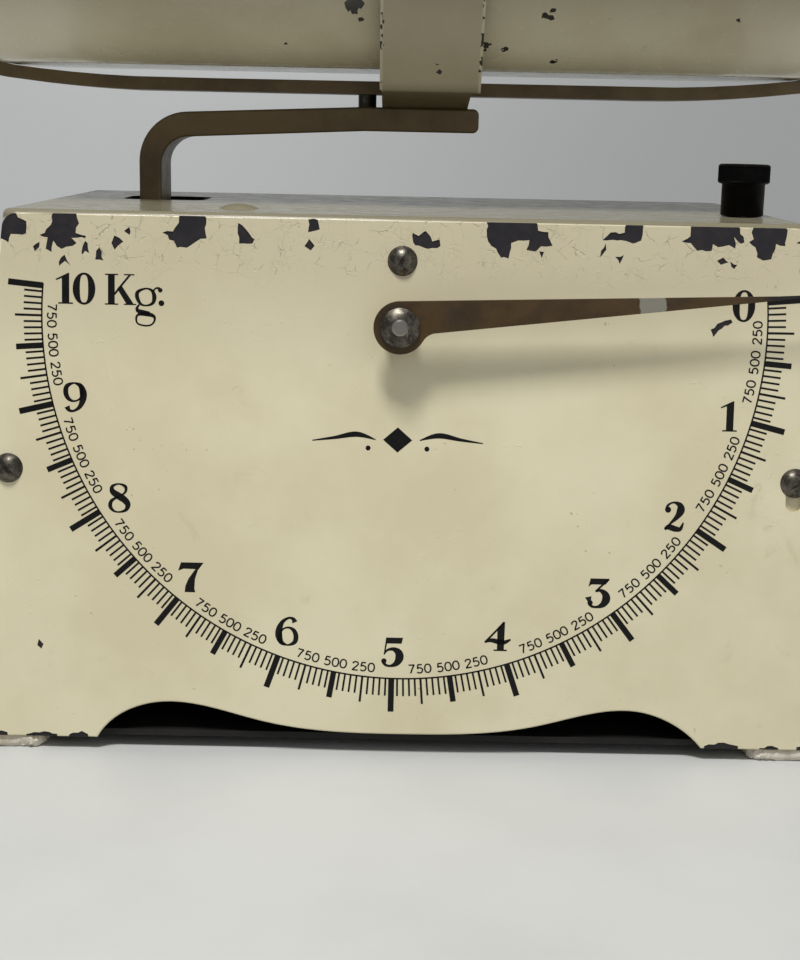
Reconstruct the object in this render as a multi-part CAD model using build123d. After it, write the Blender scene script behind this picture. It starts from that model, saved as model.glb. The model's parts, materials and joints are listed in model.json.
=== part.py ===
from build123d import *
import os
from math import acos, atan, atan2, cos, degrees, pi, sin, sqrt, tan

# Mechanical kitchen scale, 10 kg. Millimetres, +Z up, +Y to the back, +X to the right of the dial.
# The origin is on the table, at the middle of the whole scale's plan.

# ---------------------------------------------------------------- driving dimensions
FOOT_H = 4.0                # felt foot under each corner
BODY_TOP_Z = 171.2          # top sheet of the housing
TOP_W, TOP_D = 254.0, 157.0     # housing at its top
BODY_X = 1.6                # middle of the housing, to the right of the pointer axis
WALL_INSET = 17.0           # how far each wall leans in from foot to top
SHEET = 1.5                 # housing sheet
HALF_DEPTH = 97.5           # half of the whole scale's depth, pan rim to shaft end
DIAL_T = 1.6                # dial plate
PIVOT_Z = 137.0             # pointer axis, where it leaves the housing front
FRONT_GAP = 97.0            # from the housing's top front edge back to the middle of the pan

PAN_HALF_L, PAN_HALF_W = 193.0, 78.0
PAN_BOTTOM_RISE = 47.0      # pan bottom above the housing top
PAN_DEPTH = 62.0
PAN_FLARE = 52.0            # how much wider the rim is than the flat bottom, each side
PAN_CORNER = 12.0           # plan corner radius of the flat bottom
RIM_R = 2.6                 # rolled rim

ARM_T = 8.0                 # flat bar of the load arm
ARM_DEPTH = 26.0
ARM_X = -91.2               # middle of the upright leg
ARM_TOP_RISE = 34.2         # top of the bar under the cradle, above the housing top
ARM_END_X = 27.1
CRADLE_X = 8.8              # middle of the cross strap
LONG_STRAP_T = 4.6
CROSS_STRAP_T = 3.0

FRAME_PIVOT_X = 60.0        # both links turn here
LINK_Z_LOW, LINK_Z_HIGH = 45.0, 125.0
PIN_R = 2.0
RUNNING = 0.03              # radial clearance of a turning fit

TEETH = 21
MODULE = 0.6
SHAFT_R = 2.5
POINTER_GAP = 9.0           # pointer stands this far off the dial
KNOB_X = 115.0
KNOB_BACK = 43.0            # knob axis behind the housing's top front edge

# ---------------------------------------------------------------- worked-out values
WALL_H = BODY_TOP_Z - FOOT_H
SLOPE = WALL_INSET / WALL_H
LEAN = atan(SLOPE)
SKIN = SHEET / cos(LEAN)
ARM_Y = HALF_DEPTH - PAN_HALF_W
FRONT_TOP_Y = ARM_Y - FRONT_GAP
BODY_Y = FRONT_TOP_Y + TOP_D / 2
PAN_Z = BODY_TOP_Z + PAN_BOTTOM_RISE
ARM_TOP_Z = BODY_TOP_Z + ARM_TOP_RISE
KNOB_Y = FRONT_TOP_Y + KNOB_BACK
PITCH_R = TEETH * MODULE / 2
UP = (0, sin(LEAN), cos(LEAN))          # up along the leaning front
OUT = (0, -cos(LEAN), sin(LEAN))        # straight out of the leaning front
PIVOT = (0, FRONT_TOP_Y - (BODY_TOP_Z - PIVOT_Z) * SLOPE, PIVOT_Z)
# Dial coordinates: x to the right, y up along the front, z straight out of it, zero at the pointer axis.
DIAL = Plane(origin=PIVOT, x_dir=(1, 0, 0), z_dir=OUT)


def dial_y(z):
    """Dial y of a height on the housing front."""
    return (z - PIVOT_Z) / cos(LEAN)


def body_half_width(z):
    return TOP_W / 2 + (BODY_TOP_Z - z) * SLOPE


def body_half_depth(z):
    return TOP_D / 2 + (BODY_TOP_Z - z) * SLOPE


def tapered(z_low, z_high, inward, corner):
    """Solid block that follows the leaning walls, moved inward from them."""
    ends = []
    for z in (z_low, z_high):
        wide = 2 * (body_half_width(z) - inward)
        deep = 2 * (body_half_depth(z) - inward)
        ends.append(Pos(BODY_X, BODY_Y, z) * RectangleRounded(wide, deep, corner))
    return loft(ends, ruled=True)


def block(x, y, z):
    """Box from its low and high limits on each axis."""
    size = (x[1] - x[0], y[1] - y[0], z[1] - z[0])
    return Pos((x[0] + x[1]) / 2, (y[0] + y[1]) / 2, (z[0] + z[1]) / 2) * Box(*size)


def rod_z(x, y, z_low, z_high, radius):
    return Pos(x, y, (z_low + z_high) / 2) * Cylinder(radius, z_high - z_low)


def rod_y(x, y_low, y_high, z, radius):
    return Pos(x, (y_low + y_high) / 2, z) * Rot(90, 0, 0) * Cylinder(radius, y_high - y_low)


def in_xz(sketch, y_low, y_high):
    """Extrude a sketch drawn in X and Z between two depths."""
    plane = Plane(origin=(0, y_high, 0), x_dir=(1, 0, 0), z_dir=(0, -1, 0))
    return extrude(plane * sketch, y_high - y_low)


def bar_outline(x_low, x_high, z, half):
    return Pos((x_low + x_high) / 2, z) * SlotOverall(x_high - x_low + 2 * half, 2 * half)


# ---------------------------------------------------------------- housing, dial plate, base
SIDE_SCREW = (124.7, -46.8)     # x measured from the middle of the housing
TOP_SCREW = (0.4, 20.6)
ARCH_LEFT, ARCH_RIGHT = -95.0, 100.0    # ends of the double arch in the dial plate's lower edge
SCREW_R = 2.5
SLOT_X = (ARM_X - 10.4, ARM_X + 19.6)
SLOT_Y = (ARM_Y - 15.5, ARM_Y + 15.5)
BUTTON_X, BUTTON_Y, BUTTON_R = -54.0, FRONT_TOP_Y + 31.0, 6.9
WINDOW_HALF, WINDOW_TOP = 108.0, 12.0
BASE_T = 2.0
BASE_SCREW_Y = (BODY_Y - 50, BODY_Y + 50)
BASE_SCREW_Z = 12.0


def dial_screw_places():
    return {"top": TOP_SCREW, "left": (BODY_X - SIDE_SCREW[0], SIDE_SCREW[1]),
            "right": (BODY_X + SIDE_SCREW[0], SIDE_SCREW[1])}


def side_plane(side, y):
    """Plane on the housing's outer side wall, z straight out of it."""
    x = BODY_X + side * body_half_width(BASE_SCREW_Z)
    return Plane(origin=(x, y, BASE_SCREW_Z), x_dir=(0, side, 0), z_dir=(side * cos(LEAN), 0, sin(LEAN)))


def housing():
    outer = tapered(FOOT_H, BODY_TOP_Z, 0, 5)
    outer = fillet(outer.edges().group_by(Axis.Z)[-1], 2.2)
    body = outer - tapered(FOOT_H, BODY_TOP_Z - SHEET, SKIN, 3.5)
    window = Pos(0, WINDOW_TOP - 100, -5) * Box(2 * WINDOW_HALF, 200, 20)
    body -= DIAL * window
    for place in dial_screw_places().values():
        body -= DIAL * Pos(*place) * Cylinder(SCREW_R, 20)
    slot = Pos((SLOT_X[0] + SLOT_X[1]) / 2, ARM_Y, BODY_TOP_Z - 5)
    body -= slot * extrude(RectangleRounded(SLOT_X[1] - SLOT_X[0], SLOT_Y[1] - SLOT_Y[0], 6), 10)
    body -= rod_z(KNOB_X, KNOB_Y, BODY_TOP_Z - 5, BODY_TOP_Z + 5, 5)
    body -= rod_z(BUTTON_X, BUTTON_Y, BODY_TOP_Z - 5, BODY_TOP_Z + 5, 2)
    for side in (-1, 1):
        for y in BASE_SCREW_Y:
            body -= side_plane(side, y) * Cylinder(2, 12)
    return body


def dial_plate():
    low = dial_y(FOOT_H)
    high = dial_y(BODY_TOP_Z) - 1.2
    half_low = body_half_width(FOOT_H) - 1.2
    half_high = body_half_width(BODY_TOP_Z) - 1.2
    rim = Polyline((ARCH_RIGHT, low), (BODY_X + half_low, low), (BODY_X + half_high, high),
                   (BODY_X - half_high, high), (BODY_X - half_low, low), (ARCH_LEFT, low))
    rises = ((ARCH_LEFT, 0), (-90.5, 5.6), (-78, 11.5), (-42, 6.3), (3.8, 2.8), (47, 6.3), (80, 11.5), (94, 5.6),
             (ARCH_RIGHT, 0))
    arch = Spline(*[(x, low + rise) for x, rise in rises])
    plate = extrude(make_face(rim + arch), DIAL_T)
    plate = fillet(plate.edges().filter_by(Axis.Z).group_by(Axis.Y)[-1], 5)
    plate = fillet(plate.faces().sort_by(Axis.Z)[-1].edges(), 0.5)
    plate -= Cylinder(6, 10)
    plate -= Pos(*TOP_SCREW) * Cylinder(SCREW_R + 0.2, 10)
    plate -= Pos(BODY_X - SIDE_SCREW[0], SIDE_SCREW[1]) * Cylinder(SCREW_R + 0.2, 10)
    # The right-hand hole is a slot, so that the plate can be set straight.
    plate -= Pos(BODY_X + SIDE_SCREW[0], SIDE_SCREW[1] - 3.2, -5) * extrude(SlotOverall(12, 5.4, rotation=90), 10)
    return DIAL * plate


def round_head_screw(head_r, head_h, shank_r, length, slot_turn):
    """Slotted round-head screw, its seat at z = 0 and its shank downwards."""
    ball = (head_r**2 + head_h**2) / (2 * head_h)
    head = Pos(0, 0, head_h - ball) * Sphere(ball)
    head &= Pos(0, 0, head_h / 2) * Box(3 * head_r, 3 * head_r, head_h)
    screw = head + Pos(0, 0, -length / 2) * Cylinder(shank_r, length)
    slot = Pos(0, 0, head_h) * Rot(0, 0, slot_turn) * Box(3 * head_r, 1.4, 2.2)
    return screw - slot


def dial_screws():
    turns = {"top": 58, "left": -52, "right": 35}
    made = {}
    for name, place in dial_screw_places().items():
        screw = round_head_screw(4.7, 2.6, SCREW_R, DIAL_T + 9, turns[name])
        made["dial_screw_" + name] = DIAL * Pos(place[0], place[1], DIAL_T) * screw
    return made


def base_plate():
    top = BASE_SCREW_Z + 7
    gap = SKIN + 0.02
    tray = tapered(FOOT_H, top, gap, 3.5)
    tray -= tapered(FOOT_H + BASE_T, top + 1, gap + BASE_T, 2)
    # Only the two sides keep their upturned flange.
    for side in (-1, 1):
        tray -= Pos(0, BODY_Y + side * 92, FOOT_H + BASE_T + 15) * Box(300, 60, 30)
    tray -= block((-80, 40), (-50, 62), (0, 12))
    for side in (-1, 1):
        for y in BASE_SCREW_Y:
            tray -= side_plane(side, y) * Cylinder(2, 12)
    for x in LINK_BOLT_X:
        tray -= rod_z(x, ARM_Y, 0, 12, 2.5)
    return tray


def base_screws():
    made = {}
    for side, side_name in ((-1, "left"), (1, "right")):
        for y, end_name in zip(BASE_SCREW_Y, ("front", "back")):
            screw = round_head_screw(3.8, 2.4, 2, 5, 20)
            made["base_screw_" + side_name + "_" + end_name] = side_plane(side, y) * screw
    return made


def feet():
    made = {}
    pad = extrude(RectangleRounded(26, 22, 4), FOOT_H)
    front = BODY_Y - body_half_depth(FOOT_H) + 10.5
    back = BODY_Y + body_half_depth(FOOT_H) - 12
    for x, side_name in ((BODY_X - 127, "left"), (BODY_X + 127, "right")):
        for y, end_name in ((front, "front"), (back, "back")):
            made["foot_" + end_name + "_" + side_name] = Pos(x, y, 0) * pad
    return made


def top_button():
    ball_h = 1.7
    ball = (BUTTON_R**2 + ball_h**2) / (2 * ball_h)
    dome = Pos(0, 0, ball_h - ball) * Sphere(ball) & Pos(0, 0, ball_h / 2) * Box(30, 30, ball_h)
    stem = Pos(0, 0, -2) * Cylinder(2, 4)
    return Pos(BUTTON_X, BUTTON_Y, BODY_TOP_Z) * (dome + stem)


# ---------------------------------------------------------------- movement behind the dial
PLATE_NEAR, PLATE_FAR = -14.0, -38.0    # inner limits of the movement frame's two plates, dial z
FRAME_T = 2.0
RACK_Z = -27.0              # middle of the rack and pinion, dial z
RACK_BACK = PITCH_R + 5.0
BUSH_R = 5.0
ADDENDUM, DEDENDUM = 0.55, 0.72
BACKLASH = 0.1
PRESSURE = 20 * pi / 180
DRIVER_Z = 73.0             # top of the shelf that carries the rack


def movement_frame():
    deep = PLATE_NEAR - PLATE_FAR + 2 * FRAME_T
    middle = (PLATE_NEAR + PLATE_FAR) / 2
    shape = Pos(5, 16, middle) * Box(42, 64, deep)
    shape -= Pos(5, 5, middle) * Box(50, 50, deep - 2 * FRAME_T)
    shape -= Pos(0, 0, middle) * Cylinder(BUSH_R, 60)
    return DIAL * shape & block((-60, 60), (-120, 60), (90, BODY_TOP_Z - SHEET))


def bushes():
    hole = Cylinder(SHAFT_R + RUNNING, 160)
    near = Pos(0, 0, PLATE_NEAR) * Cylinder(BUSH_R, 8) - hole
    far = Pos(0, 0, PLATE_FAR) * Cylinder(BUSH_R, 8) - hole
    return {"front_bush": DIAL * near, "back_bush": DIAL * far}


def rack_guide():
    deep = PLATE_NEAR - PLATE_FAR
    guide = Pos(RACK_BACK + 2.3, 0, (PLATE_NEAR + PLATE_FAR) / 2) * Box(4, 10, deep)
    return DIAL * guide


def pinion():
    base_r = PITCH_R * cos(PRESSURE)
    root_r, tip_r = PITCH_R - DEDENDUM, PITCH_R + ADDENDUM
    half_tooth = (pi * MODULE / 2 - BACKLASH) / (2 * PITCH_R)
    spread = tan(PRESSURE) - PRESSURE
    flank = [(root_r, half_tooth + spread)]
    for step in range(4):
        radius = base_r + (tip_r - base_r) * step / 3
        angle = acos(min(1.0, base_r / radius))
        flank.append((radius, half_tooth + spread - (tan(angle) - angle)))
    points = []
    for tooth in range(TEETH):
        middle = 2 * pi * tooth / TEETH
        points += [(r * cos(middle - a), r * sin(middle - a)) for r, a in flank]
        points += [(r * cos(middle + a), r * sin(middle + a)) for r, a in reversed(flank)]
    wheel = extrude(make_face(Polyline(*points, close=True)), 6)
    return DIAL * Pos(0, 0, RACK_Z - 3) * (wheel - Cylinder(SHAFT_R, 30))


def rack():
    step = pi * MODULE
    half = step / 4 - BACKLASH / 2
    points = []
    for index in range(-3, 14):
        middle = (index + 0.5) * step
        root, tip = half + DEDENDUM * tan(PRESSURE), half - ADDENDUM * tan(PRESSURE)
        points += [(PITCH_R + DEDENDUM, middle - root), (PITCH_R - ADDENDUM, middle - tip)]
        points += [(PITCH_R - ADDENDUM, middle + tip), (PITCH_R + DEDENDUM, middle + root)]
    high = points[-1][1] + 1.0
    low = (DRIVER_Z + 0.3 - PIVOT_Z - RACK_Z * sin(LEAN)) / cos(LEAN) + 0.3
    points = [(PITCH_R + DEDENDUM, low)] + points + [(PITCH_R + DEDENDUM, high), (RACK_BACK, high), (RACK_BACK, low)]
    bar = extrude(make_face(Polyline(*points, close=True)), 5)
    return DIAL * Pos(0, 0, RACK_Z - 2.5) * bar


def shaft_end():
    """Dial z at which the shaft's end reaches the front limit of the whole scale."""
    return (HALF_DEPTH + PIVOT[1] - SHAFT_R * sin(LEAN)) / cos(LEAN)


def pointer_shaft():
    back = PLATE_FAR - 7
    end = shaft_end()
    shaft = Pos(0, 0, (back + end) / 2) * Cylinder(SHAFT_R, end - back)
    shaft = chamfer(shaft.edges().group_by(Axis.Z)[-1], 0.5)
    return DIAL * shaft


POINTER_T = 1.2
POINTER_Z = DIAL_T + POINTER_GAP
HUB_R = 8.2
POINTER_ANGLE = 5.6         # the resting pointer is this far above level
BLADE_END = 117.0
TIP_END = 124.5


def pointer_blade():
    disc = Circle(HUB_R)
    outline = Polyline((0, HUB_R), (9.5, 7.5), (BLADE_END, 0.6), (TIP_END, 0.3), (TIP_END, -0.3),
                       (BLADE_END, -0.7), (9.5, -2.6), (0, -2.6), close=True)
    flat = disc + make_face(outline)
    blade = extrude(flat, POINTER_T) - Cylinder(SHAFT_R, 20)
    corner = [e for e in blade.edges().filter_by(Axis.Z) if e.center().Y < -2.4 and 5 < e.center().X < 9]
    blade = fillet(corner, 5)
    return DIAL * Pos(0, 0, POINTER_Z) * Rot(0, 0, POINTER_ANGLE) * blade


def hub_boss():
    low = DIAL_T + 2
    boss = Pos(0, 0, (low + POINTER_Z) / 2) * (Cylinder(5, POINTER_Z - low) - Cylinder(SHAFT_R, 40))
    return DIAL * boss


def spanner_nut():
    high = 3.4
    ball = (6.1**2 + 2.2**2) / (2 * 2.2)
    nut = Pos(0, 0, high / 2) * Cylinder(6.1, high)
    nut &= Pos(0, 0, high - ball) * Sphere(ball)
    for turn in (55, 235):
        nut -= Rot(0, 0, turn) * Pos(6.0, 0, high) * Box(3.2, 2.2, 3.4)
    nut -= Cylinder(SHAFT_R, 30)
    return DIAL * Pos(0, 0, POINTER_Z + POINTER_T) * nut


# ---------------------------------------------------------------- parallel links and their bracket
LINK_SIDE = (14.5, 17.5)    # inner and outer face of a link's side bar, from the arm's middle
LINK_HALF = 7.0
BRACKET_SIDE = (10.0, 13.0)
BRACKET_X = (FRAME_PIVOT_X - 10, FRAME_PIVOT_X + 10)
LEVER_Z = 148.0
SPRING_X = -55.0
SPRING_SIDE = 25.0
SPRING_R, SPRING_WIRE = 6.0, 1.5
LINK_BOLT_X = (FRAME_PIVOT_X + 18, FRAME_PIVOT_X + 32)


def link(z, arm_hole, frame_hole, spring_hole):
    outline = bar_outline(ARM_X, FRAME_PIVOT_X, z, LINK_HALF)
    outline -= Pos(ARM_X, z) * Circle(arm_hole)
    outline -= Pos(FRAME_PIVOT_X, z) * Circle(frame_hole)
    if spring_hole:
        outline -= Pos(SPRING_X, z) * Circle(PIN_R)
    inner, outer = LINK_SIDE
    made = in_xz(outline, ARM_Y - outer, ARM_Y - inner) + in_xz(outline, ARM_Y + inner, ARM_Y + outer)
    return made + block((-74, 38), (ARM_Y - inner, ARM_Y + inner), (z + LINK_HALF - 3, z + LINK_HALF))


def cross_pin(x, z, reach):
    return rod_y(x, ARM_Y - reach, ARM_Y + reach, z, PIN_R)


def link_bracket():
    inner, outer = BRACKET_SIDE
    low = FOOT_H + BASE_T
    made = block(BRACKET_X, (ARM_Y - outer, ARM_Y + outer), (low, LEVER_Z + 9))
    made -= block((BRACKET_X[0] - 1, BRACKET_X[1] - 3), (ARM_Y - inner, ARM_Y + inner), (low + 3, 200))
    made -= block(BRACKET_X, (ARM_Y - inner, ARM_Y + inner), (LEVER_Z - 12, 200))
    made += block((BRACKET_X[1], BRACKET_X[1] + 30), (ARM_Y - outer, ARM_Y + outer), (low, low + 3))
    for z in (LINK_Z_LOW, LINK_Z_HIGH, LEVER_Z):
        made -= cross_pin(FRAME_PIVOT_X, z, 30)
    for x in LINK_BOLT_X:
        made -= rod_z(x, ARM_Y, 0, 20, 2.5)
    return made


def bracket_bolts():
    low = FOOT_H + BASE_T + 3
    made = []
    for x in LINK_BOLT_X:
        head = Pos(x, ARM_Y, low) * extrude(RegularPolygon(4.6, 6), 3.5)
        made.append(head + rod_z(x, ARM_Y, FOOT_H, low, 2.5))
    return Compound(children=made)


def springs():
    made = {}
    low, high = LINK_Z_LOW + 5, LEVER_Z - 5
    for side, name in ((-1, "front"), (1, "back")):
        y = ARM_Y + side * SPRING_SIDE
        coil = rod_z(SPRING_X, y, low, high, SPRING_R) - rod_z(SPRING_X, y, low, high, SPRING_R - SPRING_WIRE)
        made["spring_" + name] = coil
    return made


# ---------------------------------------------------------------- zero adjustment
KNOB_CAP_R, KNOB_STEM_R = 8.7, 7.15
KNOB_STEM_H, KNOB_CAP_H = 11.1, 6.4
ZERO_SCREW_R = 2.5
LEVER_HALF_H = 4.0


def zero_knob():
    low = BODY_TOP_Z + 0.3
    step = BODY_TOP_Z + KNOB_STEM_H
    knob = rod_z(0, 0, low, step, KNOB_STEM_R) + rod_z(0, 0, step, step + KNOB_CAP_H, KNOB_CAP_R)
    knob = chamfer(knob.edges().filter_by(GeomType.CIRCLE).group_by(Axis.Z)[-1], 0.7)
    knob -= rod_z(0, 0, low - 1, low + 6, ZERO_SCREW_R)
    return Pos(KNOB_X, KNOB_Y, 0) * knob


def zero_screw():
    return rod_z(KNOB_X, KNOB_Y, LEVER_Z - 12, BODY_TOP_Z + 6.3, ZERO_SCREW_R)


def zero_bush():
    under = BODY_TOP_Z - SHEET
    bush = rod_z(KNOB_X, KNOB_Y, under - 4, BODY_TOP_Z, 5) + rod_z(KNOB_X, KNOB_Y, under - 2, under, 8)
    return bush - rod_z(KNOB_X, KNOB_Y, 100, 200, ZERO_SCREW_R + RUNNING)


def zero_nut():
    low = LEVER_Z + LEVER_HALF_H + 0.5
    nut = block((KNOB_X - 5, KNOB_X + 5), (KNOB_Y - 5, KNOB_Y + 5), (low, low + 6))
    return nut - rod_z(KNOB_X, KNOB_Y, 100, 200, ZERO_SCREW_R + RUNNING)


def zero_lever():
    bend = Vector(FRAME_PIVOT_X + 27, ARM_Y)
    end = Vector(KNOB_X, KNOB_Y)
    diagonal = end - bend
    angle = degrees(atan2(diagonal.Y, diagonal.X))
    plan = Pos((SPRING_X - 7 + bend.X) / 2, ARM_Y) * Rectangle(bend.X - SPRING_X + 7, 12)
    plan += Pos((bend.X + end.X) / 2, (bend.Y + end.Y) / 2) * Rot(0, 0, angle) * SlotCenterToCenter(diagonal.length, 12)
    plan += Pos(KNOB_X, KNOB_Y) * Circle(8)
    plan -= Pos(KNOB_X, KNOB_Y) * SlotOverall(9, 6.4)
    lever = extrude(Pos(0, 0, LEVER_Z - LEVER_HALF_H) * plan, 2 * LEVER_HALF_H)
    lever -= rod_y(FRAME_PIVOT_X, -100, 100, LEVER_Z, PIN_R + RUNNING)
    return lever - rod_y(SPRING_X, -100, 100, LEVER_Z, PIN_R)


# ---------------------------------------------------------------- load arm, cradle, pan
BAR_T = 8.5
LEG_FOOT_Z = 35.0
BAR_START_DROP = 3.7        # the bar rises by this much from its bend to the cradle
FLAT_FROM_X = -14.0
STUD_X = -13.3
STRAP_SCREW_X = (CRADLE_X - 10, CRADLE_X + 10)
CROSS_W, CROSS_NECK = 34.4, 30.6
NECK_X = CRADLE_X - 1.2     # middle of the cross strap's narrower foot
LONG_STRAP_W = 20.0
LONG_FLAT_HALF = 86.0
LONG_SWEEP_R, LONG_SWEEP_ANGLE = 450.0, 7.1
LONG_BEND_R = 45.0
LONG_BEND_ANGLE = 50.0
LONG_END = 18.0
SPACER_T = 1.4


def load_arm():
    left, right = ARM_X - ARM_T / 2, ARM_X + ARM_T / 2
    outline = make_face(Polyline(
        (left, LEG_FOOT_Z), (left, ARM_TOP_Z - BAR_START_DROP), (FLAT_FROM_X, ARM_TOP_Z), (ARM_END_X, ARM_TOP_Z),
        (ARM_END_X, ARM_TOP_Z - BAR_T), (FLAT_FROM_X, ARM_TOP_Z - BAR_T),
        (right, ARM_TOP_Z - BAR_START_DROP - BAR_T), (right, LEG_FOOT_Z), close=True))
    corners = outline.vertices()
    outer = [v for v in corners if v.X < left + 1 and v.Y > BODY_TOP_Z]
    outline = fillet(outer, 18)
    inner = [v for v in outline.vertices() if abs(v.X - right) < 1 and v.Y > BODY_TOP_Z]
    outline = fillet(inner, 10)
    ends = [v for v in outline.vertices() if v.X > ARM_END_X - 1]
    outline = fillet(ends, 2.2)
    arm = in_xz(outline, ARM_Y - ARM_DEPTH / 2, ARM_Y + ARM_DEPTH / 2)
    front_and_back = arm.faces().filter_by(Axis.Y)
    arm = fillet([e for face in front_and_back for e in face.edges()], 0.9)
    arm -= rod_y(ARM_X, -100, 100, LINK_Z_LOW, PIN_R + RUNNING)
    arm -= rod_y(ARM_X, -100, 100, LINK_Z_HIGH, PIN_R + 0.08)
    for x in STRAP_SCREW_X + (STUD_X,):
        arm -= rod_z(x, ARM_Y, ARM_TOP_Z - 6, ARM_TOP_Z + 1, 2)
    return arm


def rack_driver():
    """Bent strip from the arm's leg to the shelf under the rack."""
    front = ARM_Y - ARM_DEPTH / 2
    shelf_y = PIVOT[1] + UP[1] * (DRIVER_Z - PIVOT_Z) - RACK_Z
    leg = block((ARM_X - 1.5, ARM_X + 1.5), (shelf_y + 6, front), (DRIVER_Z - 10, DRIVER_Z))
    run = block((ARM_X - 1.5, 16), (shelf_y + 6, shelf_y + 9), (DRIVER_Z - 10, DRIVER_Z))
    shelf = block((2, 16), (shelf_y - 6, shelf_y + 6), (DRIVER_Z - 3, DRIVER_Z))
    pad = block((ARM_X - 4, ARM_X + 4), (front - 3, front), (DRIVER_Z - 10, DRIVER_Z))
    return leg + run + shelf + pad


def strap_face(points, thickness):
    """Closed face between an open line and the same line moved up-left by the thickness, mitred at its corners."""
    moved = []
    for index, point in enumerate(points):
        before = points[max(index - 1, 0)]
        after = points[min(index + 1, len(points) - 1)]
        into = Vector(*point) - Vector(*before) if index else Vector(*after) - Vector(*point)
        leave = Vector(*after) - Vector(*point) if index < len(points) - 1 else into
        a, b = into.normalized(), leave.normalized()
        half = (a + b).normalized()
        normal = Vector(-half.Y, half.X)
        reach = thickness / sqrt((1 + a.dot(b)) / 2)
        shifted = Vector(*point) + normal * reach
        moved.append((shifted.X, shifted.Y))
    return make_face(Polyline(*points, *reversed(moved), close=True))


def in_yz(face, x_low, x_high):
    """Extrude a face drawn in Y and Z between two X values."""
    plane = Plane(origin=(x_low, 0, 0), x_dir=(0, 1, 0), z_dir=(1, 0, 0))
    return extrude(plane * face, x_high - x_low)


def cross_strap():
    wall = PAN_HALF_W - PAN_FLARE
    half = [(13, ARM_TOP_Z), (42, ARM_TOP_Z + 5), (wall + 36.8, PAN_Z + 25), (wall + 50.4, PAN_Z + 48)]
    points = [(ARM_Y - y, z) for y, z in reversed(half)] + [(ARM_Y + y, z) for y, z in half]
    face = strap_face(points, CROSS_STRAP_T)
    strap = in_yz(face, CRADLE_X - CROSS_W / 2, CRADLE_X + CROSS_W / 2)
    bends = [e for e in strap.edges().filter_by(Axis.X) if abs(e.center().Y - ARM_Y) > 30 and e.center().Z < PAN_Z + 40]
    strap = fillet(bends, 1.4)
    for side in (-1, 1):
        x = NECK_X + side * (CROSS_NECK / 2 + 10)
        strap -= block((x - 10, x + 10), (ARM_Y - 40.5, ARM_Y + 40.5), (ARM_TOP_Z - 5, ARM_TOP_Z + 11))
    for x in STRAP_SCREW_X:
        strap -= rod_z(x, ARM_Y, ARM_TOP_Z - 2, ARM_TOP_Z + 8, 2)
    return strap


def strap_spacer():
    low = ARM_TOP_Z + CROSS_STRAP_T
    spacer = block((CRADLE_X - 15, CRADLE_X + 15), (ARM_Y - 10, ARM_Y + 10), (low, low + SPACER_T))
    for x in STRAP_SCREW_X:
        spacer -= rod_z(x, ARM_Y, low - 2, low + 8, 2)
    return spacer


def long_strap():
    low = ARM_TOP_Z + CROSS_STRAP_T + SPACER_T
    # The strap runs flat, then rises in a slow arc, then turns up in a tight one.
    slow, steep = LONG_SWEEP_ANGLE * pi / 180, LONG_BEND_ANGLE * pi / 180
    slow_x, slow_z = LONG_FLAT_HALF, low + LONG_STRAP_T + LONG_SWEEP_R
    tight_x = slow_x + (LONG_SWEEP_R - LONG_BEND_R) * sin(slow)
    tight_z = slow_z - (LONG_SWEEP_R - LONG_BEND_R) * cos(slow)
    edges = []
    tips = {-1: [], 1: []}
    for thick in (0, LONG_STRAP_T):
        wide, tight = LONG_SWEEP_R + thick, LONG_BEND_R + thick
        start = (slow_x, slow_z - wide)
        rise = (slow_x + wide * sin(slow / 2), slow_z - wide * cos(slow / 2))
        join = (slow_x + wide * sin(slow), slow_z - wide * cos(slow))
        half_way = (slow + steep) / 2
        turn = (tight_x + tight * sin(half_way), tight_z - tight * cos(half_way))
        end = (tight_x + tight * sin(steep), tight_z - tight * cos(steep))
        tip = (end[0] + LONG_END * cos(steep), end[1] + LONG_END * sin(steep))
        edges.append(Line((-start[0], start[1]), start))
        for side in (-1, 1):
            edges.append(ThreePointArc(*[(side * x, z) for x, z in (start, rise, join)]))
            edges.append(ThreePointArc(*[(side * x, z) for x, z in (join, turn, end)]))
            edges.append(Line((side * end[0], end[1]), (side * tip[0], tip[1])))
            tips[side].append((side * tip[0], tip[1]))
    edges += [Line(*pair) for pair in tips.values()]
    strap = in_xz(make_face(edges), ARM_Y - LONG_STRAP_W / 2, ARM_Y + LONG_STRAP_W / 2)
    for x in STRAP_SCREW_X + (STUD_X,):
        strap -= rod_z(x, ARM_Y, low - 2, low + 10, 2)
    return strap


def strap_stud():
    """Black spacer stud that holds the long strap over the bar, left of the cross strap."""
    low, high = ARM_TOP_Z, ARM_TOP_Z + CROSS_STRAP_T + SPACER_T
    return rod_z(STUD_X, ARM_Y, low, high, 3.3) + rod_z(STUD_X, ARM_Y, low - 6, high + LONG_STRAP_T, 2)


def strap_screws():
    made = []
    top = ARM_TOP_Z + CROSS_STRAP_T + SPACER_T + LONG_STRAP_T
    for x in STRAP_SCREW_X:
        made.append(rod_z(x, ARM_Y, ARM_TOP_Z - 6, top, 2) + rod_z(x, ARM_Y, top, top + 1.6, 4))
    return Compound(children=made)


def flare(height):
    """How far the pan's outer wall stands out from its flat bottom at a height above it."""
    return PAN_FLARE * (height / PAN_DEPTH) ** 0.52


def pan_block(lift, inward):
    sections = []
    for height in (0, 1, 3, 7, 14, 25, 41, PAN_DEPTH):
        grow = flare(height) - inward
        long_side = 2 * (PAN_HALF_L - PAN_FLARE + grow)
        short_side = 2 * (PAN_HALF_W - PAN_FLARE + grow)
        place = Pos(0, ARM_Y, PAN_Z + lift + height)
        sections.append(place * RectangleRounded(long_side, short_side, PAN_CORNER + grow))
    return loft(sections)


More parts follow.
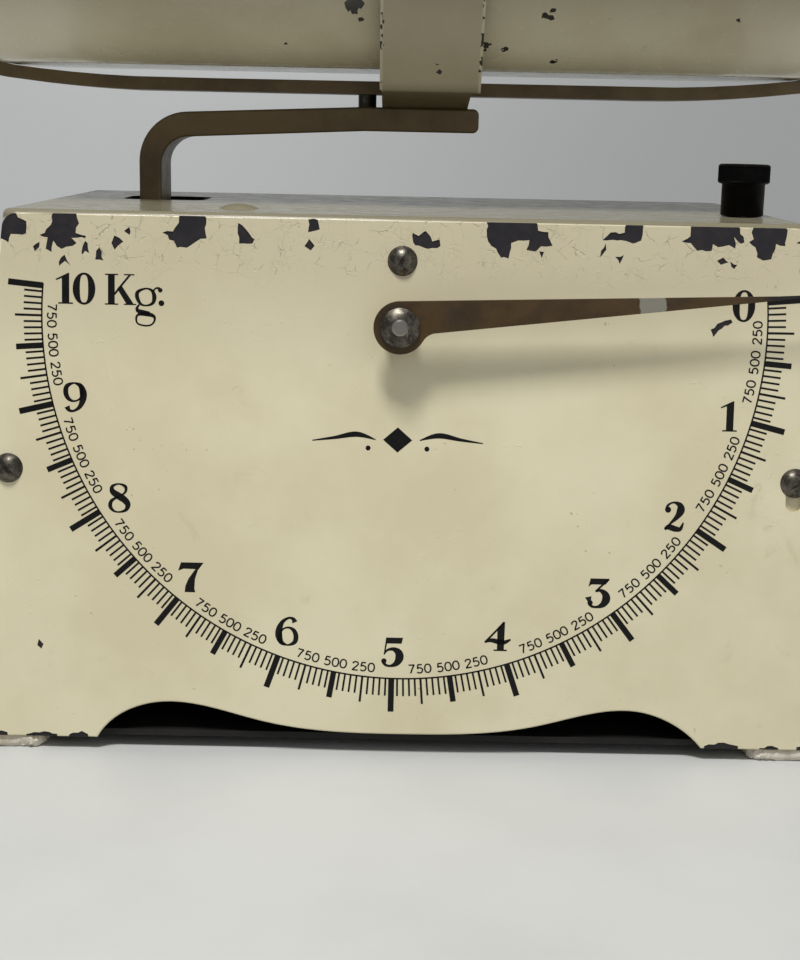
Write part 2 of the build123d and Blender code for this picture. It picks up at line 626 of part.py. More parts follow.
def pan():
    shell = pan_block(0, 0) - pan_block(2.0, 0.6)
    shell &= block((-200, 200), (-100, 120), (PAN_Z - 5, PAN_Z + PAN_DEPTH - 1))
    half_l, half_w = PAN_HALF_L - RIM_R, PAN_HALF_W - RIM_R
    path = Pos(0, ARM_Y, PAN_Z + PAN_DEPTH) * RectangleRounded(2 * half_l, 2 * half_w, PAN_CORNER + PAN_FLARE - RIM_R)
    rim_wire = path.face().outer_wire()
    section = Plane(origin=rim_wire @ 0, z_dir=rim_wire % 0) * Circle(RIM_R)
    return shell + sweep(section, rim_wire)


PARTS = {
    "housing": housing(),
    "dial_plate": dial_plate(),
    **dial_screws(),
    "base_plate": base_plate(),
    **base_screws(),
    **feet(),
    "top_button": top_button(),
    "movement_frame": movement_frame(),
    **bushes(),
    "rack_guide": rack_guide(),
    "pinion": pinion(),
    "rack": rack(),
    "pointer_shaft": pointer_shaft(),
    "pointer": pointer_blade(),
    "hub_boss": hub_boss(),
    "spanner_nut": spanner_nut(),
    "link_bracket": link_bracket(),
    "bracket_bolts": bracket_bolts(),
    "lower_frame_pin": cross_pin(FRAME_PIVOT_X, LINK_Z_LOW, 19),
    "upper_frame_pin": cross_pin(FRAME_PIVOT_X, LINK_Z_HIGH, 19),
    "lever_pin": cross_pin(FRAME_PIVOT_X, LEVER_Z, 14),
    "lower_link": link(LINK_Z_LOW, PIN_R, PIN_R + RUNNING, True),
    "upper_link": link(LINK_Z_HIGH, PIN_R, PIN_R + RUNNING, False),
    "lower_load_pin": cross_pin(ARM_X, LINK_Z_LOW, 18.5),
    "upper_load_pin": cross_pin(ARM_X, LINK_Z_HIGH, 18.5),
    "lower_spring_pin": cross_pin(SPRING_X, LINK_Z_LOW, 32),
    "upper_spring_pin": cross_pin(SPRING_X, LEVER_Z, 32),
    **springs(),
    "zero_knob": zero_knob(),
    "zero_screw": zero_screw(),
    "zero_bush": zero_bush(),
    "zero_nut": zero_nut(),
    "zero_lever": zero_lever(),
    "load_arm": load_arm(),
    "rack_driver": rack_driver(),
    "cross_strap": cross_strap(),
    "strap_spacer": strap_spacer(),
    "long_strap": long_strap(),
    "strap_stud": strap_stud(),
    "strap_screws": strap_screws(),
    "pan": pan(),
}

os.makedirs("parts", exist_ok=True)
for name, solid in PARTS.items():
    export_step(solid, "parts/" + name + ".step")
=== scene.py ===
import json
import random
from math import cos, hypot, pi, radians, sin, sqrt

import bmesh
import bpy
from mathutils import Matrix, Vector, noise


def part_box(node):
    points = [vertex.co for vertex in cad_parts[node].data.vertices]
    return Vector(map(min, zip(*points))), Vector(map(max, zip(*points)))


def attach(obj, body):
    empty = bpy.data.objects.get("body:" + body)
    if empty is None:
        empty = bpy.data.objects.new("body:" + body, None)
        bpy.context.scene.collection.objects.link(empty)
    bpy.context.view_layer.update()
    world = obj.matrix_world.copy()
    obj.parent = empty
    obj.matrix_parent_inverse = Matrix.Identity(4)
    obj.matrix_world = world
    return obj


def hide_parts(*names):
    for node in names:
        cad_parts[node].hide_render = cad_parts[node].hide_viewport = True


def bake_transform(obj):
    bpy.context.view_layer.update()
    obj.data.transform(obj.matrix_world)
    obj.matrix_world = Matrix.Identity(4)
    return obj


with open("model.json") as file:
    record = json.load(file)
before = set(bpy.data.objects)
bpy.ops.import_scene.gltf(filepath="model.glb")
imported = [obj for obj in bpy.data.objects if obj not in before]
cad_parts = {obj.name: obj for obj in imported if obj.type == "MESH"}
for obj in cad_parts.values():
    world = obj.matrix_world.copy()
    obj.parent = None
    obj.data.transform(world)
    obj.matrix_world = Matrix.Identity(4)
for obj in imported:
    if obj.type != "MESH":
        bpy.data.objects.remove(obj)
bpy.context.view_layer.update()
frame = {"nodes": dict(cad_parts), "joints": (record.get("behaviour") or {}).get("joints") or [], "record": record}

MM = 0.001
random.seed(7)

# ---------------------------------------------------------------- places taken from the frame
JOINTS = {joint["name"]: joint for joint in frame["joints"]}
PIVOT = Vector(JOINTS["pointer_turn"]["pos_m"])
OUT = -Vector(JOINTS["pointer_turn"]["axis"])       # straight out of the leaning dial
UP = Vector((0, OUT.z, -OUT.y))                     # up along the dial
ACROSS = Vector((1, 0, 0))
PLATE_LOW, PLATE_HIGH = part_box("dial_plate")
DIAL_T = 1.6                                        # thickness of the dial plate, mm
TOP_EDGE = ((PLATE_HIGH.z - PIVOT.z) / MM - DIAL_T * OUT.z) / UP.z      # dial y of the plate's top edge, mm
ZERO_ANGLE, DEGREES_PER_KG, FULL_KG = 5.0, 19.05, 10
POINTER_ANGLE = 5.6


def on_dial(x, y, out=0.0):
    """Point on the dial in mm from the pointer axis: x right, y up the front, out from the plate's back."""
    return PIVOT + (ACROSS * x + UP * y + OUT * out) * MM


def kg_angle(kg):
    return radians(ZERO_ANGLE - DEGREES_PER_KG * kg)


# ---------------------------------------------------------------- materials
def rgb(red, green, blue):
    """Linear colour from display values of 0 to 255."""
    linear = []
    for value in (red, green, blue):
        share = value / 255
        linear.append(share / 12.92 if share <= 0.04045 else ((share + 0.055) / 1.055) ** 2.4)
    return (*linear, 1.0)


class Surface:
    """A Principled material, with short calls for the nodes that feed it. Sizes are in mm."""

    def __init__(self, name, **constants):
        self.material = bpy.data.materials.new(name)
        self.material.use_nodes = True
        self.nodes = self.material.node_tree.nodes
        self.shader = self.nodes["Principled BSDF"]
        for socket, value in constants.items():
            self.shader.inputs[socket.replace("_", " ")].default_value = value
        self.place = self.nodes.new("ShaderNodeTexCoord").outputs["Object"]

    def feed(self, socket, value):
        if isinstance(value, bpy.types.NodeSocket):
            self.material.node_tree.links.new(value, socket)
        else:
            socket.default_value = value

    def node(self, kind, inputs=(), **settings):
        made = self.nodes.new("ShaderNode" + kind)
        for key, value in settings.items():
            setattr(made, key, value)
        for key, value in dict(inputs).items():
            self.feed(made.inputs[key], value)
        return made

    def math(self, operation, a, b=0.0, clamp=False):
        return self.node("Math", {0: a, 1: b}, operation=operation, use_clamp=clamp).outputs[0]

    def times(self, value, *factors):
        for factor in factors:
            value = self.math("MULTIPLY", value, factor)
        return value

    def vector_math(self, operation, a, b=(0, 0, 0)):
        return self.node("VectorMath", {0: a, 1: b}, operation=operation)

    def noise(self, size, detail=3, rough=0.55, vector=None, warp=0.0):
        inputs = {"Vector": vector or self.place, "Scale": 1 / (size * MM), "Detail": detail,
                  "Roughness": rough, "Distortion": warp}
        return self.node("TexNoise", inputs).outputs["Fac"]

    def stretched(self, x, y, z):
        """Place with each axis squeezed, so that what is drawn on it is stretched the other way."""
        return self.vector_math("MULTIPLY", self.place, (x, y, z)).outputs[0]

    def warped(self, size, reach):
        """Place shifted by noise, which breaks up straight edges."""
        inputs = {"Vector": self.place, "Scale": 1 / (size * MM), "Detail": 4}
        push = self.node("TexNoise", inputs).outputs["Color"]
        push = self.vector_math("SUBTRACT", push, (0.5, 0.5, 0.5)).outputs[0]
        push = self.vector_math("MULTIPLY", push, (reach * MM,) * 3).outputs[0]
        return self.vector_math("ADD", self.place, push).outputs[0]

    def cells(self, size, vector=None, feature="F1"):
        inputs = {"Vector": vector or self.place, "Scale": 1 / (size * MM)}
        return self.node("TexVoronoi", inputs, feature=feature)

    def span(self, value, low, high):
        """0 below low, 1 above high, smooth between them. Low may be above high."""
        inputs = {"Value": value, "From Min": low, "From Max": high}
        return self.node("MapRange", inputs, interpolation_type="SMOOTHSTEP").outputs["Result"]

    def mix(self, factor, a, b, blend="MIX"):
        made = self.node("Mix", {0: factor}, data_type="RGBA", blend_type=blend)
        self.feed(made.inputs[6], a)
        self.feed(made.inputs[7], b)
        return made.outputs[2]

    def mottled(self, grain, low, high, light, dark):
        """Two colours in clouds; grain holds the arguments of noise."""
        return self.mix(self.span(self.noise(*grain), low, high), light, dark)

    def bump(self, height, depth, normal=None):
        inputs = {"Height": height, "Distance": depth * MM, "Strength": 1.0}
        if normal is not None:
            inputs["Normal"] = normal
        return self.node("Bump", inputs).outputs["Normal"]

    def along(self, direction, origin):
        """Distance in mm along a direction from a point."""
        away = self.vector_math("SUBTRACT", self.place, tuple(origin)).outputs[0]
        far = self.vector_math("DOT_PRODUCT", away, tuple(direction)).outputs["Value"]
        return self.math("MULTIPLY", far, 1 / MM)

    def finish(self, color, roughness, normal, **others):
        self.feed(self.shader.inputs["Base Color"], color)
        self.feed(self.shader.inputs["Roughness"], roughness)
        self.feed(self.shader.inputs["Normal"], normal)
        for socket, value in others.items():
            self.feed(self.shader.inputs[socket.replace("_", " ")], value)
        return self.material


BARE_STEEL = rgb(24, 22, 27)


def enamel_tone(surface, light, dark, grime):
    """Old enamel: cloudy yellowing, fine grain and a little ground-in dirt."""
    cloud = surface.noise(55, 4, 0.6)
    color = surface.mix(surface.span(cloud, 0.35, 0.68), light, dark)
    grain = surface.noise(0.9, 2)
    color = surface.mix(surface.times(surface.span(grain, 0.45, 0.8), 0.10), color, dark)
    dirt = surface.span(surface.noise(16, 8, 0.72, warp=0.6), 0.60, 0.78)
    return surface.mix(surface.times(dirt, 0.30), color, grime)


def enamel_relief(surface, wave=0.5):
    peel = surface.bump(surface.noise(1.4, 2), 0.012)
    return surface.bump(surface.noise(34, 2, 0.4), wave, peel)


def enamel_gloss(surface, low=0.20, high=0.42):
    wear = surface.noise(9, 6, 0.65)
    inputs = {"Value": wear, "From Min": 0.3, "From Max": 0.75, "To Min": low, "To Max": high}
    return surface.node("MapRange", inputs).outputs["Result"]


def spots_mask(surface, spots, cell):
    """1 inside the listed spots (point in metres, radius in mm), with angular edges made by small cells."""
    centre = surface.cells(cell, surface.warped(2.5, 1.2)).outputs["Position"]
    nearest = None
    for point, radius in spots:
        far = surface.vector_math("DISTANCE", centre, tuple(point)).outputs["Value"]
        far = surface.math("SUBTRACT", far, radius * MM)
        nearest = far if nearest is None else surface.math("MINIMUM", nearest, far)
    return surface.math("LESS_THAN", nearest, 0.0)


def enamel_dial():
    surface = Surface("enamel_dial", Coat_Weight=0.25, Coat_Roughness=0.12)
    color = enamel_tone(surface, rgb(218, 210, 178), rgb(208, 198, 165), rgb(156, 138, 100))
    height = surface.along(UP, on_dial(0, TOP_EDGE))
    # Painted shade: the plate is darker towards its top edge.
    shaded = surface.times(surface.span(height, -62, -6), 0.8)
    color = surface.mix(shaded, color, rgb(190, 180, 151))
    near_top = surface.span(surface.math("ADD", height, surface.times(surface.noise(11, 3), 12.0)), -16, -5)
    moved = surface.warped(6, 5.5)
    cracks = surface.cells(6.5, moved, "DISTANCE_TO_EDGE").outputs["Distance"]
    fine = surface.cells(2.8, moved, "DISTANCE_TO_EDGE").outputs["Distance"]
    broken = surface.span(surface.noise(4, 3), 0.48, 0.62)
    lines = surface.times(surface.span(cracks, 0.022, 0.004), broken)
    faint = surface.times(surface.span(fine, 0.035, 0.0), surface.span(surface.noise(7, 2), 0.5, 0.64))
    lines = surface.times(surface.math("MAXIMUM", lines, surface.times(faint, 0.4)), near_top)
    color = surface.mix(surface.times(lines, 0.14), color, rgb(118, 104, 78))
    stains = surface.times(surface.span(surface.noise(1.9, 2), 0.70, 0.76),
                          surface.span(surface.noise(30, 2), 0.50, 0.66))
    color = surface.mix(surface.times(stains, 0.5), color, rgb(124, 96, 60))
    tilt = surface.node("SeparateColor", {"Color": surface.cells(6.5, moved).outputs["Color"]}).outputs[0]
    lifted = surface.times(surface.times(tilt, near_top), 0.5)
    blister = surface.span(surface.noise(4.5, 5, 0.6, warp=1.5), 0.60, 0.74)
    blister = surface.times(blister, surface.span(surface.noise(38, 2), 0.50, 0.62))
    relief = surface.math("SUBTRACT", surface.math("ADD", lifted, surface.times(blister, 0.45)), lines)
    normal = surface.bump(relief, 0.16, enamel_relief(surface, 0.35))
    return surface.finish(color, enamel_gloss(surface, 0.28, 0.5), normal)


def bare_steel():
    surface = Surface("bare_steel", Specular_IOR_Level=0.35)
    color = surface.mottled((5, 5, 0.7), 0.4, 0.7, BARE_STEEL, rgb(40, 33, 35))
    brushed = surface.noise(0.7, 3, vector=surface.stretched(0.12, 1, 1))
    return surface.finish(color, 0.5, surface.bump(brushed, 0.03))


def enamel_edge():
    """Broken edge of the enamel round a chip, paler than its face."""
    surface = Surface("enamel_edge", Specular_IOR_Level=0.3)
    color = surface.mix(surface.noise(1.5, 3), rgb(226, 221, 204), rgb(176, 162, 132))
    return surface.finish(color, 0.6, surface.bump(surface.noise(0.5, 2), 0.02))


def inside_mask(surface, centre):
    """1 on faces that look towards a centre point: the inside of a shell."""
    away = surface.vector_math("SUBTRACT", surface.place, tuple(centre)).outputs[0]
    normal = surface.node("NewGeometry").outputs["True Normal"]
    facing = surface.vector_math("DOT_PRODUCT", away, normal).outputs["Value"]
    return surface.math("LESS_THAN", facing, 0.0)


def enamel_body():
    low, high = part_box("housing")
    surface = Surface("enamel_body", Coat_Roughness=0.08)
    color = enamel_tone(surface, rgb(208, 198, 166), rgb(196, 184, 148), rgb(140, 122, 84))
    centre = surface.cells(3.4, surface.warped(4, 2.5)).outputs["Position"]
    level = surface.node("SeparateXYZ", {"Vector": centre}).outputs["Z"]
    near_foot = surface.span(level, low.z + 9 * MM, low.z)
    worn = surface.math("ADD", surface.noise(14, 3, vector=centre), surface.times(near_foot, 0.13))
    chips = surface.math("GREATER_THAN", worn, 0.71)
    # Painted shade: the top face is darkened, standing in for the pan's shadow over it; its coat and specular
    # level are lowered there as well.
    top = surface.span(surface.along((0, 0, 1), high), -4.0, -2.2)
    color = surface.mix(surface.times(top, 0.85), color, rgb(104, 100, 84))
    color = surface.mix(chips, color, BARE_STEEL)
    inner = inside_mask(surface, (low + high) / 2)
    color = surface.mix(inner, color, rgb(13, 12, 11))
    gloss = surface.math("MAXIMUM", enamel_gloss(surface, 0.14, 0.32), surface.times(inner, 0.7))
    normal = surface.bump(surface.math("SUBTRACT", 1.0, chips), 0.2, enamel_relief(surface, 0.7))
    dull = surface.math("SUBTRACT", 1.0, top)
    return surface.finish(color, gloss, normal, Coat_Weight=surface.times(dull, 0.6),
                          Specular_IOR_Level=surface.math("ADD", surface.times(dull, 0.35), 0.15))


PAN_DEPTH, PAN_WIDEST, PAN_CURVE = 62.0, 52.0, 0.52


def pan_flare(rise):
    """How far the pan's wall stands outside its flat bottom, at a height above it, mm."""
    return PAN_WIDEST * (rise / PAN_DEPTH) ** PAN_CURVE


def enamel_pan():
    low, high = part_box("pan")
    surface = Surface("enamel_pan", Coat_Weight=0.5, Coat_Roughness=0.1)
    color = enamel_tone(surface, rgb(214, 207, 180), rgb(200, 190, 162), rgb(134, 117, 86))
    front = low.y
    spots = []
    for x, rise, radius in ((-17, 18, 3.2), (-19, 22, 2.8), (-15, 14, 1.8), (-76, 13, 1.4), (-41, 6, 1.7),
                            (47, 17, 2.2), (67, 16, 1.2), (111, 12, 1.6), (27, 6.4, 2.4), (33, 5.4, 1.6),
                            (52, 2.6, 1.5)):
        back = pan_flare(PAN_DEPTH) - pan_flare(rise)
        spots.append(((x * MM, front + back * MM, low.z + rise * MM), radius))
    chips = spots_mask(surface, spots, 1.6)
    centre = surface.cells(2.6, surface.warped(3, 2)).outputs["Position"]
    level = surface.node("SeparateXYZ", {"Vector": centre}).outputs["Z"]
    rim = surface.span(level, high.z - 8 * MM, high.z - 2 * MM)
    worn = surface.math("ADD", surface.noise(11, 3, vector=centre), surface.times(rim, 0.10))
    chips = surface.math("MAXIMUM", chips, surface.math("GREATER_THAN", worn, 0.735))
    rise = surface.along((0, 0, 1), low)
    # Painted shade: the wall darkens from its bottom towards the rim, outside and inside.
    shade = surface.times(surface.span(rise, 5.0, 38.0), 0.85)
    color = surface.mix(shade, color, rgb(122, 112, 88))
    # Painted highlight: a pale line along the bend at the bottom edge.
    crease_highlight = surface.times(surface.span(rise, 0.85, 0.5), surface.span(rise, 0.0, 0.2))
    crease_highlight = surface.times(crease_highlight, surface.span(surface.noise(9, 4), 0.34, 0.52))
    color = surface.mix(surface.times(crease_highlight, 0.8), color, rgb(236, 232, 214))
    color = surface.mix(chips, color, BARE_STEEL)
    normal = surface.bump(surface.math("SUBTRACT", 1.0, chips), 0.2, enamel_relief(surface, 0.4))
    return surface.finish(color, enamel_gloss(surface, 0.16, 0.34), normal)


def enamel_strap():
    surface = Surface("enamel_strap", Coat_Weight=0.3, Coat_Roughness=0.2)
    low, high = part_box("cross_strap")
    # Painted shade: the strap's cream enamel is set darker than the pan's, as the same enamel in shade.
    color = enamel_tone(surface, rgb(176, 166, 140), rgb(160, 150, 122), rgb(98, 86, 60))
    centre = surface.cells(1.3, surface.warped(2.5, 1.4)).outputs["Position"]
    rise = surface.along((0, 0, 1), low)
    tall = (high.z - low.z) / MM
    # Painted shade: the upper part of the strap is darker.
    color = surface.mix(surface.times(surface.span(rise, tall * 0.35, tall * 0.75), 0.7), color,
                        rgb(126, 116, 92))
    # Painted shade: the foot at the bottom of the strap is darker still.
    color = surface.mix(surface.times(surface.span(rise, tall * 0.14, tall * 0.05), 0.8), color,
                        rgb(84, 74, 50))
    aside = surface.math("ABSOLUTE", surface.along((1, 0, 0), (low + high) / 2))
    half = (high.x - low.x) / 2 / MM
    edge = surface.span(aside, half - 2.2, half - 0.4)
    # Painted highlight: pale lines along both side edges.
    edge_highlight = surface.times(surface.span(aside, half - 1.3, half - 0.5), 0.4)
    color = surface.mix(edge_highlight, color, rgb(222, 214, 190))
    worn = surface.math("ADD", surface.noise(4.5, 3, vector=centre), surface.times(edge, 0.16))
    chips = surface.math("GREATER_THAN", worn, 0.70)
    color = surface.mix(chips, color, BARE_STEEL)
    return surface.finish(color, enamel_gloss(surface, 0.3, 0.5), enamel_relief(surface, 0.25))


def bronze_paint():
    """Olive-brown bronze paint of the arm and the long strap."""
    surface = Surface("bronze_paint", Coat_Weight=0.15, Coat_Roughness=0.25)
    color = surface.mottled((26, 5, 0.65), 0.35, 0.7, rgb(104, 87, 56), rgb(82, 66, 40))
    flecks = surface.span(surface.noise(1.1, 3), 0.58, 0.75)
    color = surface.mix(surface.times(flecks, 0.35), color, rgb(112, 99, 72))
    worn = surface.span(surface.noise(9, 8, 0.75), 0.66, 0.72)
    color = surface.mix(surface.times(worn, 0.6), color, rgb(52, 42, 28))
    normal = surface.bump(surface.noise(1.0, 3), 0.03, surface.bump(surface.noise(12, 3), 0.12))
    return surface.finish(color, enamel_gloss(surface, 0.38, 0.58), normal, Metallic=0.35)


def pointer_bronze():
    """Brown lacquered pointer with a rubbed grey patch and a blackened tip."""
    surface = Surface("pointer_bronze", Coat_Weight=0.1, Coat_Roughness=0.3)
    direction = ACROSS * cos(radians(POINTER_ANGLE)) + UP * sin(radians(POINTER_ANGLE))
    reach = surface.along(direction, PIVOT)
    color = surface.mottled((15, 6, 0.7), 0.38, 0.66, rgb(70, 50, 16), rgb(50, 35, 12))
    specks = surface.span(surface.noise(1.3, 5, 0.7), 0.60, 0.70)
    color = surface.mix(surface.times(specks, 0.5), color, rgb(38, 28, 15))
    ragged = surface.math("ADD", reach, surface.times(surface.noise(3, 4), 3.0))
    patch = surface.times(surface.span(ragged, 75.2, 75.8), surface.span(ragged, 83.6, 83.0))
    color = surface.mix(patch, color, rgb(128, 124, 112))
    color = surface.mix(surface.span(ragged, 113.0, 117.0), color, rgb(24, 20, 15))
    return surface.finish(color, enamel_gloss(surface, 0.36, 0.6), surface.bump(surface.noise(1.2, 4), 0.03),
                          Metallic=0.3)


def blackened_steel():
    surface = Surface("blackened_steel", Metallic=0.75)
    color = surface.mottled((3, 5, 0.7), 0.4, 0.72, rgb(60, 56, 49), rgb(112, 106, 94))
    scratch = surface.noise(0.5, 4, vector=surface.stretched(1, 1, 0.15))
    color = surface.mix(surface.times(surface.span(scratch, 0.58, 0.7), 0.35), color, rgb(158, 152, 138))
    return surface.finish(color, enamel_gloss(surface, 0.26, 0.5), surface.bump(surface.noise(0.8, 4), 0.03))


def knob_black():
    surface = Surface("knob_black", Specular_IOR_Level=0.06)
    color = surface.mottled((4, 5, 0.7), 0.4, 0.7, rgb(5, 5, 5), rgb(11, 11, 10))
    return surface.finish(color, enamel_gloss(surface, 0.3, 0.55), surface.bump(surface.noise(0.9, 3), 0.02))


def black_paint():
    surface = Surface("black_paint", Specular_IOR_Level=0.3)
    color = surface.mottled((30, 5, 0.6), 0.4, 0.7, rgb(14, 13, 12), rgb(30, 28, 25))
    return surface.finish(color, 0.6, surface.bump(surface.noise(2, 3), 0.05))


def felt():
    surface = Surface("felt", Specular_IOR_Level=0.1, Sheen_Weight=0.4, Sheen_Roughness=0.6)
    fibre = surface.noise(0.7, 6, 0.75, warp=2.0)
    color = surface.mottled((5, 4), 0.35, 0.7, rgb(226, 219, 203), rgb(196, 184, 160))
    color = surface.mix(surface.times(surface.span(fibre, 0.5, 0.8), 0.4), color, rgb(150, 138, 116))
    return surface.finish(color, 0.95, surface.bump(fibre, 0.35))


def plain_steel():
    surface = Surface("plain_steel", Metallic=0.9)
    color = surface.mix(surface.noise(9, 5, 0.65), rgb(168, 165, 158), rgb(122, 116, 106))
    scratch = surface.noise(0.6, 4, vector=surface.stretched(1, 1, 0.1))
    return surface.finish(color, enamel_gloss(surface, 0.24, 0.44), surface.bump(scratch, 0.02))


def brass():
    surface = Surface("brass", Metallic=0.95)
    color = surface.mottled((8, 5, 0.7), 0.35, 0.7, rgb(190, 158, 88), rgb(128, 98, 52))
    normal = surface.bump(surface.noise(1.2, 3), 0.02)
    return surface.finish(color, enamel_gloss(surface, 0.24, 0.46), normal)


def dial_ink():
    surface = Surface("dial_ink", Specular_IOR_Level=0.25)
    color = surface.mottled((1.6, 6, 0.75), 0.56, 0.74, rgb(8, 7, 7), rgb(30, 27, 23))
    return surface.finish(color, enamel_gloss(surface, 0.3, 0.5), surface.bump(surface.noise(1.4, 2), 0.01))


# ---------------------------------------------------------------- mesh helpers
def new_object(name, bm, *materials, smooth_angle=None):
    mesh = bpy.data.meshes.new(name)
    bmesh.ops.recalc_face_normals(bm, faces=bm.faces)
    bm.to_mesh(mesh)
    bm.free()
    made = bpy.data.objects.new(name, mesh)
    bpy.context.scene.collection.objects.link(made)
    for material in materials:
        mesh.materials.append(material)
    if smooth_angle is not None:
        smooth(mesh, smooth_angle)
    return made


def smooth(mesh, angle):
    for polygon in mesh.polygons:
        polygon.use_smooth = True
    mesh.set_sharp_from_angle(angle=radians(angle))


def stand_for(piece, body, slot, *nodes):
    """Puts a new piece on a body, in place of CAD nodes."""
    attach(piece, body)
    if nodes:
        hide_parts(*nodes)


def apply_modifiers(piece):
    bpy.context.view_layer.update()
    evaluated = piece.evaluated_get(bpy.context.evaluated_depsgraph_get())
    mesh = bpy.data.meshes.new_from_object(evaluated)
    piece.modifiers.clear()
    piece.data = mesh


def welded_mesh(node):
    """A CAD node's mesh with its split corners joined, for work that the CAD mesh itself may not have."""
    bm = bmesh.new()
    bm.from_mesh(frame["nodes"][node].data)
    bmesh.ops.remove_doubles(bm, verts=bm.verts, dist=0.002 * MM)
    for face in bm.faces:
        face.material_index = 0
    return bm


def softened(node, body, slot, material, radius, angle=35):
    """A CAD node with its sharp edges broken, as paint and wear leave them."""
    bm = welded_mesh(node)
    bmesh.ops.dissolve_limit(bm, angle_limit=radians(1), verts=bm.verts, edges=bm.edges)
    piece = new_object(node + "_softened", bm, material, smooth_angle=angle)
    bevel = piece.modifiers.new("edges", "BEVEL")
    bevel.width = radius * MM
    bevel.segments = 3
    bevel.limit_method = "ANGLE"
    bevel.angle_limit = radians(angle)
    bevel.use_clamp_overlap = True
    bevel.harden_normals = True
    apply_modifiers(piece)
    stand_for(piece, body, slot, node)
    return piece


def bridge(bm, first, second):
    """Quads between two rings of the same length."""
    count = len(first)
    for index in range(count):
        after = (index + 1) % count
        bm.faces.new((first[index], first[after], second[after], second[index]))


def skin(bm, rings):
    """Closed skin over a row of rings."""
    for first, second in zip(rings, rings[1:]):
        bridge(bm, first, second)
    bm.faces.new(rings[0])
    bm.faces.new(rings[-1])


def tube(bm, points, radius, sides=10):
    """Closed round bar along a line of points."""
    rings = []
    for index, point in enumerate(points):
        ahead = points[min(index + 1, len(points) - 1)] - points[max(index - 1, 0)]
        turn = ahead.to_track_quat("Z", "Y")
        ring = []
        for side in range(sides):
            angle = 2 * pi * side / sides
            ring.append(bm.verts.new(point + turn @ Vector((radius * cos(angle), radius * sin(angle), 0))))
        rings.append(ring)
    skin(bm, rings)


# ---------------------------------------------------------------- printing on the dial
INK_LOW, INK_HIGH = DIAL_T - 0.02, DIAL_T + 0.04
ARC_R, ARC_LINE = 113.8, 0.5
ARC_MIDDLE = (1.6, 1.3)     # the printed arc is not quite centred on the pointer axis


def arc_radius(angle):
    """Distance from the pointer axis to the printed arc."""
    toward = ARC_MIDDLE[0] * cos(angle) + ARC_MIDDLE[1] * sin(angle)
    return toward + sqrt(ARC_R**2 - ARC_MIDDLE[0]**2 - ARC_MIDDLE[1]**2 + toward**2)


def prism(bm, outline, low=INK_LOW, high=INK_HIGH, material_index=0, wall_index=0):
    """Thin plate on the dial with an outline of dial points."""
    under = [bm.verts.new(on_dial(x, y, low)) for x, y in outline]
    over = [bm.verts.new(on_dial(x, y, high)) for x, y in outline]
    for ring in (under, over):
        bm.faces.new(ring).material_index = material_index
    for index in range(len(outline)):
        after = (index + 1) % len(outline)
        wall = bm.faces.new((under[index], under[after], over[after], over[index]))
        wall.material_index = wall_index


def band(bm, left, right, closed=False):
    """Thin plate between two lines of dial points."""
    if closed:
        left, right = left + left[:1], right + right[:1]
    stations = []
    for (x0, y0), (x1, y1) in zip(left, right):
        corners = ((x0, y0, INK_LOW), (x0, y0, INK_HIGH), (x1, y1, INK_HIGH), (x1, y1, INK_LOW))
        stations.append([bm.verts.new(on_dial(*corner)) for corner in corners])
    for first, second in zip(stations, stations[1:]):
        bridge(bm, first, second)
    if not closed:
        bm.faces.new(stations[0])
        bm.faces.new(stations[-1])


def curve_through(points, steps=6, closed=False):
    """Smooth line through a few points of any length, by Catmull-Rom."""
    count = len(points)
    smooth_points = []
    for index in range(count if closed else count - 1):
        if closed:
            p0, p1, p2, p3 = (points[(index + shift) % count] for shift in (-1, 0, 1, 2))
        else:
            p0, p1, p2, p3 = (points[min(max(index + shift, 0), count - 1)] for shift in (-1, 0, 1, 2))
        for step in range(steps):
            t = step / steps
            smooth_points.append(tuple(
                0.5 * (2 * b + (c - a) * t + (2 * a - 5 * b + 4 * c - d) * t * t
                       + (3 * b - a - 3 * c + d) * t ** 3)
                for a, b, c, d in zip(p0, p1, p2, p3)))
    if not closed:
        smooth_points.append(points[-1])
    return smooth_points


def pen_stroke(bm, points, place, closed=False):
    """Stroke of changing width through (x, y, width) points of a glyph."""
    line = curve_through(points, closed=closed)
    left, right = [], []
    for index, (x, y, width) in enumerate(line):
        if closed:
            before, after = line[index - 1], line[(index + 1) % len(line)]
        else:
            before, after = line[max(index - 1, 0)], line[min(index + 1, len(line) - 1)]
        along_x, along_y = after[0] - before[0], after[1] - before[1]
        size = hypot(along_x, along_y) or 1.0
        side_x, side_y = -along_y / size * width / 2, along_x / size * width / 2
        left.append(place(x + side_x, y + side_y))
        right.append(place(x - side_x, y - side_y))
    band(bm, left, right, closed)


def fuller(value, power):
    """A sine or cosine raised to a power with its sign kept; below 1 it fills an oval's corners out."""
    return abs(value) ** power * (1 if value >= 0 else -1)


def oval(cx, cy, rx, ry, count=32, squareness=1.0):
    """Points round an oval; squareness below 1 fills its corners out."""
    points = []
    for index in range(count):
        c, s = cos(2 * pi * index / count), sin(2 * pi * index / count)
        points.append((cx + rx * fuller(c, squareness), cy + ry * fuller(s, squareness)))
    return points


